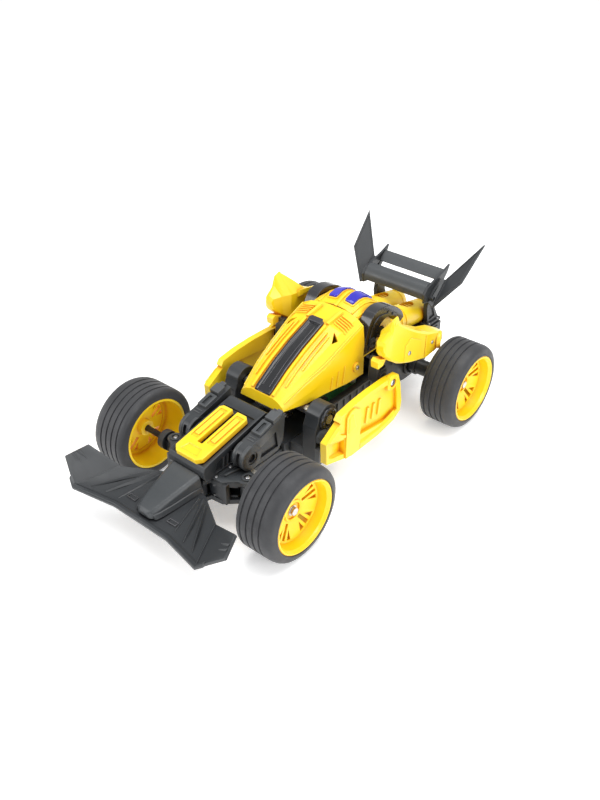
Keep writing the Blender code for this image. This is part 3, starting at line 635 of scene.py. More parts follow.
def make_front_wing():
    """The creased front wing with its lip, creases, outer plate fins and slots."""
    columns = [0, 0.55, 1.0, 1.35, 1.7, 2.0, 2.5, 3.0]
    rows = 6
    form = Form()
    grid = []
    for row in range(rows + 1):
        v = row / rows
        line = [wing_point(u, v) for u in columns]
        # the panel between the creases sinks a little towards its middle
        line = [(x, y, z - 1.1 * math.sin(math.pi * v) * (1 if i in (3, 4) else 0)) for i,
                (x, y, z) in enumerate(line)]
        grid.append([form.bm.verts.new(point) for point in mirrored(line)])
    form.net(grid)
    piece("front_wing_look", form, BLACK, "chassis", ["front_wing"], width=0.3, angle=12, thickness=2.6)

    def lip():
        form = Form()
        rings = []
        for u in (0, 0.5, 1.0, 1.5, 2.0, 2.3):
            x, y, z = wing_point(u, 1.0)
            rings.append([(x, y - 1.2, z - 3.0), (x, y + 2.4, z - 3.2), (x, y + 2.6, z + 0.7),
                          (x, y + 0.9, z + 1.1), (x, y - 0.9, z + 0.5), (x, y - 1.6, z - 0.8)])
        return form.skin(rings)

    both("wing_lip", lip, BLACK, "chassis", width=0.3)

    def wing_height(x, y):
        """The wing's height at the nearest of a grid of its points, for what is drawn on it."""
        best = min(((u / 20, v / 20) for u in range(0, 61) for v in range(0, 21)),
                   key=lambda uv: (wing_point(*uv)[0] - x) ** 2 + (wing_point(*uv)[1] - y) ** 2)
        return wing_point(*best)[2]

    def creases():
        form = Form()
        for start, end, width in (((20.5, -132), (29, -166), 2.2), ((24.5, -131), (41, -168), 2.6),
                                  ((30, -135), (53, -171), 2.0)):
            steps = 6
            path = [(start[0] + (end[0] - start[0]) * i / steps, start[1] + (end[1] - start[1]) * i / steps)
                    for i in range(steps + 1)]
            rings = []
            for i, (x, y) in enumerate(path):
                z = wing_height(x, y)
                grow = 0.25 + 0.75 * (1 - i / steps)
                rings.append([(x - width * grow, y, z - 0.8), (x + width * grow, y, z - 0.8),
                              (x + 0.1, y, z + 1.7 * grow)])
            form.skin(rings)
        return form

    both("wing_creases", creases, BLACK, "chassis", width=0.2, angle=20)

    def plate_marks():
        """Two small slanted fins on each outer plate, and the rib along its fold."""
        form = Form()
        for v in (0.42, 0.62):
            low = Vector(wing_point(2.62, v))
            high = Vector(wing_point(2.97, v + 0.04))
            form.skin([[low + Vector((0, -0.7, -0.4)), low + Vector((0, 0.7, -0.4)), low
                        + Vector((0, 0, 0.3))], [high + Vector((0, -1.5, -0.4)), high
                                                 + Vector((0, 1.5, -0.4)), high + Vector((0, 0, 1.3))]])
        rings = []
        for v in (0.03, 0.35, 0.68, 0.97):
            x, y, z = wing_point(2.0, v)
            rings.append([(x - 1.3, y, z - 0.8), (x + 1.1, y, z - 0.4), (x + 0.2, y, z + 0.9)])
        return form.skin(rings)

    both("wing_plate_marks", plate_marks, BLACK, "chassis", width=0.15)

    def slot_frame():
        form = Form()
        x0, x1, y0, y1 = 17.5, 24.5, -160.0, -157.4
        z = wing_height(21, -158.7)
        form.box((x0 - 1.0, y0 - 1.0, z - 0.8), (x1 + 1.0, y1 + 1.0, z + 0.7))
        return form.carved(Form().box((x0, y0, z - 0.2), (x1, y1, z + 2)))

    both("wing_slot", slot_frame, GLOSS, "chassis", width=0.15)


def make_spine():
    """Central spine over the wing: lighter top plate on a darker body, rounded at the front."""
    stations = [(-124.4, 15.0, 37.4, 50.6), (-134, 13.6, 36.6, 48.2), (-150, 11.0, 34.6, 43.9),
                (-160, 9.2, 33.6, 40.9), (-165.2, 7.4, 33.0, 38.8), (-167.2, 4.6, 32.8, 36.8)]
    rings = []
    for y, half, low, top in stations:
        rings.append([(-half - 1.2, y, low), (half + 1.2, y, low), (half, y, top - 2.2),
                      (half - 1.6, y, top - 0.5), (half - 3.4, y, top), (-half + 3.4, y, top),
                      (-half + 1.6, y, top - 0.5), (-half, y, top - 2.2)])
    piece("wing_spine_look", Form().skin(rings), GREY, "chassis", ["wing_spine"], width=0.6, angle=18)
    rings = []
    for y, half, low, top in stations[:5]:
        rings.append([(-half - 3.0, y, low - 0.4), (half + 3.0, y, low - 0.4), (half + 1.4, y, low + 3.6),
                      (-half - 1.4, y, low + 3.6)])
    piece("spine_base", Form().skin(rings), BLACK, "chassis", width=0.5)


NOSE_SLOPE = math.atan2(67.7 - 57.7, 50)


def nose_top(x, y):
    """The sloping top plane of the nose."""
    return (x, y, 56.4 + (y + 123.8) * math.tan(NOSE_SLOPE))


def make_nose():
    """The nose block and its yellow slotted cover on the slope."""
    side_view = [(-121.0, 44.3), (-124.2, 49), (-124.2, 54.5), (-122.6, 57.6), (-116, 59.6), (-57, 71.4),
                 (-53, 68.5), (-51, 60), (-52, 44.3)]
    block = Form().prism("X", side_view, -18.5, 18.5)
    tray = Form().raised(nose_top, [(-14.5, -121.2), (14.5, -121.2), (15.6, -116), (15.6, -66.5),
                                    (-15.6, -66.5), (-15.6, -116)], 0.2, 9.0)
    pockets = Form()
    for low, high in ((16.6, 22.0), (-22.0, -16.6)):
        pockets.prism("X", [(-113, 47.2), (-110, 55.4), (-66, 64.2), (-63, 47.2)], low, high)
    piece("nose_look", block.carved(tray, pockets), BLACK, "chassis", ["nose_base"], width=0.8, angle=25)

    def side_ribs():
        form = Form()
        for y in (-104, -99.5, -95):
            form.prism("X", [(y - 0.6, 46), (y + 0.6, 46), (y + 1.9, 57), (y + 0.7, 57)], 16.0, 18.3)
        form.prism("X", [(-82, 48), (-82, 60.4), (-70, 62.6), (-68, 48)], 16.0, 17.9)
        return form

    both("nose_side_ribs", side_ribs, BLACK, "chassis", width=0.2)

    # yellow inlay: a U of two rails round a slot, with a raised bead all round its edge
    length = 54.0
    half = 14.0
    slot = 2.5
    outline = [(-half, 4.0), (-half + 4, 0), (half - 4, 0), (half, 4.0), (half, length - 2.5),
               (half - 2.5, length), (slot, length), (slot, 15.0), (-slot, 15.0), (-slot, length),
               (-half + 2.5, length), (-half, length - 2.5)]
    inlay = Form().prism("Z", outline, 0.5, 5.0)
    for side in (1, -1):
        rail = [(side * (slot + 2.4), 17.5), (side * (half - 2.4), 17.5), (side * (half - 2.4), length - 3.4),
                (side * (slot + 2.4), length - 3.4)]
        inlay = inlay.carved(Form().prism("Z", rail, 4.1, 8.0))
        step = [(side * (slot + 3.6), 20.5), (side * (half - 3.6), 20.5), (side * (half - 3.6), length - 6),
                (side * (slot + 3.6), length - 6)]
        inlay.prism("Z", step, 3.8, 5.3)
    bridge = [(-8.5, 3.6), (8.5, 3.6), (6.5, 10.6), (-6.5, 10.6)]
    inlay = inlay.carved(Form().prism("Z", bridge, 4.2, 8.0))
    tilt = Matrix.Translation((0, -122.8, 56.9)) @ Matrix.Rotation(NOSE_SLOPE, 4, "X")
    bmesh.ops.transform(inlay.bm, matrix=tilt, verts=inlay.bm.verts)
    piece("nose_cover_look", inlay, YELLOW, "chassis", ["nose_cover"], width=0.5, angle=25)
    slope_screws = screws("Z", 1, *[((0, y), nose_top(0, y)[2] + 0.2, 1.5) for y in (-78, -88)])
    piece("nose_screws", slope_screws, STEEL, "chassis", width=0)


def leg_top(x, y):
    return (x, y, 64.8 + (y + 89) * 0.265)


def make_legs():
    """The black limbs beside the nose, with their round knuckles and stepped blocks."""
    def leg():
        side_view = [*circle((-89, 54.5), 10, 14, math.radians(252), math.radians(-146)), (-70, 69.5),
                     (-51.5, 74.6), (-54, 52), (-60, 45)]
        body = Form().prism("X", side_view, 22.4, 33.2)
        cuts = Form()
        cuts.box((26.2, -101, 46.5), (29.0, -96.4, 60.5))
        cuts.prism("X", [(-84, 49), (-80, 58.5), (-62, 63.5), (-60, 49)], 31.6, 35)
        cuts.rod("X", (-89, 54.5), 3.4, 31.6, 35)
        return body.carved(cuts)

    both("leg_look", leg, BLACK, "chassis", ["leg_SIDE"], width=0.7, angle=28)

    def knuckle_cap():
        form = Form()
        form.turned("X", (-89, 54.5), [(10.4, 22.2), (10.4, 24.6), (9.0, 25.2), (9.0, 22.2)], 48)
        form.turned("X", (-89, 54.5), [(10.4, 30.4), (10.4, 33.4), (8.6, 34.0), (5.0, 34.0), (5.0, 30.4)], 48)
        return form

    both("leg_knuckle", knuckle_cap, GREY, "chassis", width=0.4)

    def top_blocks():
        form = Form().raised(leg_top, [(23.6, -79), (32.4, -79), (32.4, -66), (23.6, -66)], -1.0, 2.2)
        slot = Form().raised(leg_top, [(26.6, -77), (29.4, -77), (29.4, -68), (26.6, -68)], 0.6, 5.0)
        form = form.carved(slot)
        form.raised(leg_top, [(24.2, -64.5), (33.0, -64.5), (33.0, -56.5), (24.2, -56.5)], -1.0, 3.4)
        form.raised(leg_top, [(27.0, -56.6), (33.0, -56.6), (31.6, -51.8), (27.0, -51.8)], -1.0, 1.8)
        for y in (-84.5, -82.0):
            form.ribbon(leg_top, [(24.5, y), (31.5, y)], 1.0, 0.6)
        return form

    both("leg_blocks", top_blocks, GREY, "chassis", width=0.45)


# ---------------------------------------------------------------- chest
# The chest's cross-sections as (x, z) from the middle out and down to the foot, at stations along Y
CHEST = ((-42.0, ((0, 64), (10, 64), (15, 64), (19, 64), (21, 64), (21.5, 64))),
         (-41.0, ((0, 73), (11.5, 73), (17, 71), (21, 68), (22, 66), (22, 65))),
         (-20.0, ((0, 87), (12, 87), (20, 84.5), (25.5, 79), (27.5, 72), (28.5, 65))),
         (0.0, ((0, 97.5), (12, 97.3), (22, 94.2), (29, 86.5), (30.5, 76), (31, 65))),
         (27.0, ((0, 108.5), (12, 108.5), (24, 106), (31, 99), (33, 84), (33, 62.5))),
         (46.2, ((0, 112.2), (12, 112.0), (24, 110.2), (31.5, 106.5), (33.5, 93), (34, 62.5))))
SEAM_BOW = 4.0                              # how far the rear edge bows back in the middle
CHANNEL_HALF = ((-40.6, 7.8), (-38, 8.0), (-20, 7.8), (0, 7.6), (24, 7.4), (26.4, 7.2))


def chest_top(x, y):
    """The chest's outer surface over a point of the plan."""
    section = along_table(CHEST, max(y, -41.0))
    for (x0, z0), (x1, z1) in zip(section, section[1:]):
        if abs(x) <= x1:
            return (x, y, z0 + (z1 - z0) * (abs(x) - x0) / (x1 - x0))
    return (x, y, section[-1][1])


def make_chest():
    """The chest shell: a bowed sheet with vents, ridges, a collar and side ribs."""
    rows = [[(x, y, z) for x, z in section] for y, section in CHEST]
    rows[-1] = [(x, y + SEAM_BOW * (1 - (x / 34.0) ** 2), z) for x, y, z in rows[-1]]
    shell = Form().sheet(rows, 2.4)
    for side in (1, -1):
        shell = shell.carved(Form().prism("Z", [(side * 19.0, 24.5), (side * 25.6, 21.0),
                                                (side * 23.6, 15.5)], 85, 120))
    piece("chest_look", shell, YELLOW, "torso", ["chest_shell"], width=0.8, angle=11)

    def ridges():
        form = Form()
        for offset, start, end, width, height in ((2.7, 25, -39.5, 3.2, 1.9), (7.4, 21, -30, 1.8, 1.4),
                                                  (10.8, 19, -14, 1.5, 1.2)):
            stations = [start + (end - start) * step / 8 for step in range(9)]
            form.ribbon(chest_top, [(along_table(CHANNEL_HALF, y) + offset, y) for y in stations], width,
                        height)
        for step in range(5):
            y = 29.6 + 2.6 * step
            form.ribbon(chest_top, [(13.6, y + 1.6), (19, y + 0.8), (24.0, y), (26.2, y - 0.4)], 1.35, 1.3)
        return form

    both("chest_ridges", ridges, YELLOW, "torso", width=0.2, angle=20)

    def collar():
        """Stepped blocks beside the rear end of the channel, and the raised edge along the shoulder."""
        form = Form()
        form.ribbon(chest_top, [(10.4, 27), (10.6, 45)], 3.8, 1.9)
        form.ribbon(chest_top, [(30.2, 45.5), (29.6, 27), (27.6, 2), (24.4, -18), (20.6, -38)], 1.6, 1.0)
        return form

    both("chest_collar", collar, YELLOW, "torso", width=0.35, angle=20)

    def side_panel():
        """Ribs and a screw boss on the side wall under the shoulder crease."""
        form = Form()
        for y in (6, 13, 20):
            low = along_table(CHEST, y)
            (x0, z0), (x1, z1) = low[4], low[5]
            form.skin([[(x - 0.5, y + shift - 0.7, z), (x + 0.8, y + shift - 0.7, z),
                        (x + 0.8, y + shift + 0.7, z), (x - 0.5, y + shift + 0.7, z)] for x, z,
                       shift in ((x1, z1 + 2, 0), (x0, z0 - 1, 2.5))])
        form.rod("X", (36, 74), 4.0, 32.0, 35.0)
        return form

    both("chest_side_ribs", side_panel, YELLOW, "torso", width=0.25)
    both("chest_side_screws", lambda: screws("X", 1, ((36, 74), 35.0, 2.0)), STEEL, "torso", width=0)


def make_channel():
    """Glossy channel down the chest: a sunk middle between two rails, with a raised block at its rear end."""
    rings = []
    for y, half in CHANNEL_HALF:
        z = chest_top(0, y)[2]
        right = [(half, z + 0.1), (half, z + 1.5), (half - 0.6, z + 2.1), (half - 2.3, z + 2.1),
                 (half - 3.0, z + 1.2)]
        left = [(-x, height) for x, height in reversed(right)]
        rings.append([(x, y, height) for x, height in right + [(0, z + 0.8)] + left])
    piece("channel_look", Form().skin(rings), GLOSS, "torso", ["chest_channel"], width=0.3, angle=14)
    details = Form()
    for side in (1, -1):
        path = [(side * (along_table(CHANNEL_HALF, y) * 0.42), y) for y in (20, 10, -4, -18, -36)]
        details.ribbon(lambda x, y: (x, y, chest_top(0, y)[2] + 0.9), path, 1.1, 0.7)
    block = [(-6.6, 22.4), (6.6, 22.4), (6.8, 25.4), (5.4, 27.2), (-5.4, 27.2), (-6.8, 25.4)]
    details.raised(lambda x, y: chest_top(0, y), block, 0.4, 3.4)
    piece("channel_rails", details, GLOSS, "torso", width=0.3, angle=20)


# ---------------------------------------------------------------- canopy and head
# Stations of the canopy as (y, (crown height, height of its side edge))
CANOPY = ((48.4, (112.2, 107.8)), (52, (113.4, 108.5)), (56, (114.8, 108.8)), (60, (116.4, 108.7)),
          (65, (117.8, 108.0)), (70, (117.9, 107.0)), (76, (116.0, 105.2)), (82, (112.2, 102.8)),
          (88, (107.6, 100.4)), (93, (104.2, 99.0)), (97, (102.0, 98.0)))
CANOPY_HALF = 23.2


def canopy_top(x, y):
    """The dome's outer surface: an elliptic arch between the side edges at each station."""
    crown, edge = along_table(CANOPY, y)
    flat = math.sqrt(1 - (CANOPY_HALF / (CANOPY_HALF + 1.5)) ** 2)
    arch = math.sqrt(max(0.0, 1 - (x / (CANOPY_HALF + 1.5)) ** 2))
    return (x, y, edge + (crown - edge) * (arch - flat) / (1 - flat))


def dome_plate(low_x, high_x, start, end, low, high, clip):
    """A plate that follows the dome, with its four corners clipped."""
    stations = [start, start + clip, start + clip * 2]
    stations += [start + (end - start) * share for share in (0.3, 0.5, 0.7)] + [end - clip * 2, end - clip,
        end]
    rings = []
    for y in stations:
        inset = max(0.0, clip - min(y - start, end - y))
        xs = [low_x + inset + (high_x - low_x - 2 * inset) * share for share in (0, 0.25, 0.5, 0.75, 1)]
        bottom = [canopy_top(x, y) for x in xs]
        rings.append([(x, y0, z + low) for x, y0, z in bottom] + [(x, y0, z + high) for x, y0,
                                                                  z in reversed(bottom)])
    return Form().skin(rings)


def make_canopy():
    """The domed canopy with framed windows, creases and a spine."""
    widths = [CANOPY_HALF * math.sin(math.pi / 2 * step / 9) for step in range(10)]
    rows = [[canopy_top(x, y) for x in widths] for y, _ in CANOPY]
    rows[0] = [(x, y + (SEAM_BOW - 1.2) * (1 - (x / CANOPY_HALF) ** 2), z) for x, y, z in rows[0]]
    piece("canopy_look", Form().sheet(rows, 2.0), YELLOW, "canopy", ["canopy"], width=0.4, angle=35)
    both("window_look", lambda: dome_plate(4.4, 12.6, 57, 85, 0.2, 2.3, 0.9), BLUE, "canopy", ["window_SIDE"],
         width=0.4, angle=25)
    both("window_frame", lambda: dome_plate(3.3, 13.7, 55.8, 86.2, -0.6, 0.9, 1.2).carved(
        dome_plate(4.3, 12.7, 56.9, 85.1, -0.2, 3.0, 0.8)), YELLOW, "canopy",
         width=0.15, angle=35)

    def creases():
        form = Form()
        form.ribbon(canopy_top, [(17.0, y) for y in (50, 58, 66, 74, 82, 90, 95)], 1.8, 1.1)
        form.ribbon(canopy_top, [(21.8, y) for y in (50, 58, 66, 74, 82, 90, 95)], 2.0, 0.9)
        for y in (89.5, 91.8, 94.1):
            form.ribbon(canopy_top, [(2.0, y), (6, y), (11, y), (14.5, y)], 1.0, 0.6)
        return form

    both("canopy_creases", creases, YELLOW, "canopy", width=0.2, angle=20)
    middle = Form()
    middle.ribbon(canopy_top, [(0, y) for y in (50, 54, 60, 66, 72, 80, 88, 95)], 3.4, 0.9)
    for side in (1, -1):
        middle.rod("X", (97, 98), 1.7, side * 8, side * 19)
    piece("canopy_spine", middle, YELLOW, "canopy", width=0.3, angle=25)


def make_head():
    """A plain robot helmet: stepped skull, cheek guards, a crest and a recessed visor facing up."""
    skull = [(-11.5, 74), (11.5, 74), (12.5, 84), (12.0, 94), (9.0, 100), (-9.0, 100), (-12.0, 94),
             (-12.5, 84)]
    helmet = Form().prism("Y", skull, 54.4, 79.6)
    helmet = helmet.carved(Form().box((-9.2, 62, 96.5), (9.2, 71, 110)))
    for side in (1, -1):
        helmet = helmet.carved(Form().prism("X", [(66, 76), (76, 78), (76, 92), (68, 92)], side * 11.4,
                                            side * 14))
    piece("helmet_look", helmet, YELLOW, "head", ["helmet"], width=0.7, angle=25)
    trim = Form()
    trim.prism("X", [(56, 99), (57, 103.6), (61, 105), (62, 99)], -2.2, 2.2)
    trim.prism("X", [(71, 99), (71.5, 105), (77.5, 107), (79, 99)], -2.6, 2.6)
    for side in (1, -1):
        trim.rod("X", (67, 84), 5.6, side * 12, side * 14.8)
        trim.prism("X", [(57, 92), (55.6, 97), (58, 104), (60.5, 98)], side * 8.5, side * 11.4)
    piece("helmet_trim", trim, YELLOW, "head", width=0.4, angle=25)
    piece("visor_look", Form().skin([[(-8.7, 62.5, z), (8.7, 62.5, z), (8.7, 70.5, z), (0, 71.0, z),
                                      (-8.7, 70.5, z)] for z in (97.3, 100.6)]), BLUE, "head", ["visor"],
          width=0.7)
    face = Form()
    face.prism("Z", [(-5, 56.4), (5, 56.4), (6.5, 61), (-6.5, 61)], 98.5, 101.0)
    for x in (-3, 0, 3):
        face.box((x - 0.4, 57, 100.5), (x + 0.4, 60.6, 101.6))
    piece("face_guard", face, GREY, "head", width=0.3)


# ---------------------------------------------------------------- arches, pods and arms
def curve_through(points, steps=4):
    """Points on a smooth open curve through the given points."""
    ends = [points[0], *points, points[-1]]
    result = []
    for a, b, c, d in zip(ends, ends[1:], ends[2:], ends[3:]):
        for step in range(steps):
            t = step / steps
            result.append(tuple(0.5 * (2 * q + (r - p) * t + (2 * p - 5 * q + 4 * r - s) * t ** 2
                                       + (3 * q - p - 3 * r + s) * t ** 3) for p, q, r, s in zip(a, b, c, d)))
    return result + [points[-1]]


def make_arches():
    """Glossy hooked arches beside the head, with a groove round the outside face."""
    outer = curve_through([(45.5, 80), (47, 93), (51, 104), (57.5, 112.5), (67, 115), (79, 112.6), (90, 107),
                           (98.5, 99.5), (101.6, 93)])
    inner = curve_through([(96, 90), (92, 96), (85, 101), (76.5, 103), (69, 101), (64, 95), (62, 80)])

    def arch():
        body = Form().prism("X", outer + inner, 23.6, 34.0)
        groove = curve_through([(49.5, 82), (51, 93), (54.5, 102), (60, 108.5), (68, 110.6), (78, 108.6)])
        groove += curve_through([(77.4, 106.6), (68.2, 108.2), (61.4, 106), (56.6, 100.4), (53.6, 92),
                                 (52.4, 82)])
        return body.carved(Form().prism("X", groove, 33.1, 36))

    both("arch_look", arch, GLOSS, "torso", ["side_arch_SIDE"], width=1.3, angle=30)

    def trim():
        form = Form()
        form.prism("X", circle((56.5, 88), 4.6, 6), 33.4, 35.2)
        form.turned("X", (56.5, 88), [(2.9, 34.6), (2.9, 36.0), (1.5, 36.0), (1.5, 34.6)], 24)
        form.prism("X", [(84, 104.6), (90.5, 101.4), (89, 99.6), (83, 102.6)], 33.4, 34.9)
        return form

    both("arch_trim", trim, BLACK, "torso", width=0.3)


# The shoulder pod's stations: y, (inner x, outer x), low z, inner high z, (ridge x, ridge z), outer high z
POD = ((33.0, (54.6, 61.0), 99.5, 103.4, (58.6, 104.2), 103.8), (34.4, (53.4, 62.2), 95.0, 106.2,
                                                                 (58.6, 107.8), 107.2),
       (42.0, (50.8, 62.5), 87.8, 106.6, (60.0, 114.0), 112.6), (44.4, (49.6, 62.5), 86.2, 106.8,
                                                                 (60.6, 121.8), 119.4),
       (49.6, (46.6, 62.5), 82.6, 106.8, (60.4, 123.8), 119.6), (54.0, (46.4, 62.5), 79.6, 106.4,
                                                                 (57.2, 120.0), 115.6),
       (60.0, (46.4, 62.5), 76.8, 105.8, (52.3, 114.2), 111.6), (67.0, (46.4, 62.5), 74.0, 104.6,
                                                                 (48.6, 107.2), 106.8),
       (76.0, (46.4, 62.5), 70.6, 100.6, (49.0, 101.8), 101.2), (97.0, (46.4, 62.5), 64.6, 88.6, (50, 91.0),
                                                                 90.2), (111.0, (46.6, 62.4), 65.4, 84.0,
    (50, 86.6), 85.6), (119.0, (47.4, 61.4), 66.4, 80.0, (50.4, 82.4), 81.6),
       (126.0, (49.6, 59.4), 68.6, 77.0, (52, 78.4), 77.8))


EXHAUST = (61.8, 116.5, 74.6)
EXHAUST_DIRECTION = (0.86, 0.5, 0.02)


def make_pods():
    """Shoulder pods with a horn, an exhaust, their pivot pin and the elbow link."""
    def pod():
        rings = []
        for y, (inner, outer), low, inner_high, (ridge, top), outer_high in POD:
            rings.append([(inner, y, low + 2), (inner + 2, y, low), (outer - 2, y, low), (outer, y, low + 2),
                          (outer, y, outer_high - 2), (outer - 0.8, y, outer_high), (ridge + 0.7, y, top),
                          (ridge - 0.7, y, top), (inner, y, inner_high)])
        opening = Form().rod("Z", (0, 0), 5.6, -11, 11, segments=36).aimed(EXHAUST, EXHAUST_DIRECTION)
        seam = Form().box((61.9, 93.0, 60), (64, 93.8, 89))
        return Form().skin(rings).carved(opening, seam)

    both("pod_look", pod, YELLOW, "arm_SIDE", ["shoulder_pod_SIDE"], width=0.6, angle=8)

    def fins():
        form = Form()
        # horn at the top front, low front tab, and the raised panel round the shoulder screw
        form.skin([[(58.6, 45.6, 120), (62.4, 45.6, 118.6), (62.4, 53.6, 115.0), (58.6, 53.6, 117)],
                   [(60.0, 49.2, 124.4), (60.9, 49.2, 124.2), (60.9, 50.8, 123.9), (60.0, 50.8, 124.1)]])
        form.prism("X", [(33.5, 92), (30.6, 90), (31.4, 83.6), (38.2, 84), (42, 88.6)], 51.2, 58.4)
        form.prism("X", [(62, 78), (62, 93), (70, 97), (86, 88), (88, 76), (76, 72.5)], 61.8, 63.1)
        return form

    both("pod_fins", fins, YELLOW, "arm_SIDE", width=0.35, angle=20)
    tab = Form().skin([[(48, 56, 101), (48, 56, 106), (48, 70, 104.4), (48, 71, 99)],
                       [(44.6, 58, 103), (44.6, 58, 109.4), (44.6, 68, 108), (44.6, 69, 101)],
                       [(37.6, 69.6, 109.4), (37.6, 69.6, 110.8), (37.6, 73.6, 110.6), (37.6, 73.6, 109.2)]])
    piece("pod_inner_tab", tab, YELLOW, "arm_right", side=-1, width=0.35, angle=20)

    def collar():
        profile = [(5.7, -1.0), (7.5, -2.2), (7.7, 0.9), (6.9, 1.7), (5.7, 1.4)]
        return Form().turned("Z", (0, 0), profile, 36).aimed(EXHAUST, EXHAUST_DIRECTION)

    both("exhaust_collar", collar, YELLOW, "arm_SIDE", width=0.25)

    def pivot_pin():
        form = Form().rod("X", SHOULDER, 5.0, 21.2, 47.0, segments=40)
        form.turned("X", SHOULDER, [(8.2, 42.6), (8.2, 46.8), (4.6, 46.8), (4.6, 42.0), (7.0, 42.0)], 40)
        return form

    both("shoulder_pin_look", pivot_pin, BLACK, "arm_SIDE", width=0.3)
    both("pod_screws", lambda: screws("X", 1, ((104, 78), 62.4, 1.7), ((68, 84), 63.1, 2.0)), STEEL,
         "arm_SIDE", width=0)

    def link():
        outline = [(38, 88.4), (44, 86.2), (50, 80.6), (51, 68), *circle((44, 68), 6.4, 10, 0, -math.pi),
                   (36.8, 74)]
        body = Form().prism("X", outline, 45.2, 54.2)
        body = body.carved(Form().prism("X", [(40.5, 84), (47, 79), (47.6, 76.4), (40.5, 76.4)], 52.6, 56))
        body.turned("X", ELBOW, [(5.4, 53.6), (5.4, 55.1), (2.6, 55.1), (2.6, 53.6)], 36)
        return body.rod("X", ELBOW, 3.0, 53.8, 64.2, segments=36)

    both("link_look", link, BLACK, "arm_SIDE", ["elbow_link_SIDE"], width=0.4)


def make_forearms():
    """Forearm shells: a pocketed front half, a raised middle block and a bright sloping flange behind."""
    outline = [(-41, 53.6), (-39.9, 34.2), (-8, 24.4), (28, 24.4), (50, 27.6), (59, 33), (60, 42), (56, 62),
               (52, 72), (36, 74), (14, 74.2), (-6, 73.0), (-22.5, 70.4), (-25.6, 66.2), (-24, 64.0)]

    def arm():
        # the front pocket is deeper at its rear end; the long rear recess lies above the flange
        pocket = Form().skin([[(66, -38.8, 53.0), (66, -38.0, 37.8), (66, -17.4, 31.8), (66, -18, 46.6)],
                              [(63.6, -37.4, 51.4), (63.6, -36.6, 39.4), (60, -18.6, 33.6),
                               (60, -18.8, 45.2)]])
        recess = [(2.5, 39.5), (40, 33.6), (53.6, 37), (51.6, 56), (47, 68), (20, 70), (2.5, 64)]
        inside = [(-12, 34), (22, 30), (34, 38), (34, 58), (-4, 62)]
        return Form().prism("X", outline, 58.8, 64.6).carved(
            pocket, Form().prism("X", recess, 61.6, 67), Form().rod("X", ELBOW, 3.5, 50, 70, segments=36),
            Form().prism("X", inside, 57, 60.0))

    both("forearm_look", arm, YELLOW, "forearm_SIDE", ["forearm_SIDE"], width=0.8, angle=28)

    def blocks():
        form = Form()
        middle = [(-17.2, 27.4), (-17.2, 66), (-13.5, 69.6), (-7.6, 70.6), (-0.6, 66.4), (0.8, 49),
                  (0.8, 26.6)]
        form.skin([[(x, y, z) for y, z in middle] for x in (64.0, 66.2)])
        form.skin([[(66.0, y, z) for y, z in ((-15.6, 50), (-15.6, 65), (-12, 67.8), (-9, 66.4),
                                              (-4.6, 52))], [(66.9, y, z) for y,
                                                             z in ((-14.6, 51), (-14.6, 64.4), (-12, 66.4),
                                                                   (-10, 65.2), (-6, 52.6))]])
        # ledge over the front pocket
        form.skin([[(64.0, y, z) for y, z in ((-26.6, 63.4), (-40.0, 54.6), (-38.6, 53.2), (-17.6, 47.6),
                                              (-17.6, 51.6), (-24.4, 55.4))],
                   [(66.0, y, z) for y, z in ((-26.4, 61.6), (-38.6, 54.6), (-37.4, 53.8), (-17.8, 48.6),
                                              (-17.8, 51), (-24.4, 54.4))]])
        # bright lower flange that runs up to the rear
        form.skin([[(x, y, z) for x, z in ((64, low), (66.0, low + 1.0), (66.0, low + 5.4), (64, low + 8.4))]
                   for y, low in ((1.6, 26.0), (26, 25.6), (40, 27.2), (50, 30.0))])
        return form

    both("forearm_blocks", blocks, YELLOW, "forearm_SIDE", width=0.4, angle=20)

    def pivot_ring():
        form = Form().turned("X", ELBOW, [(7.0, 61.4), (7.0, 64.8), (5.8, 65.6), (3.6, 65.6), (3.6, 61.4)],
                             44)
        for y in (12, 20, 28):
            form.prism("X", [(y, 44), (y + 2.6, 44), (y + 4.2, 58), (y + 1.6, 58)], 61.2, 63.0)
        return form

    both("forearm_ring", pivot_ring, YELLOW, "forearm_SIDE", width=0.25)
    both("elbow_screw", lambda: screws("X", 1, (ELBOW, 64.2, 2.6)), STEEL, "arm_SIDE", width=0)


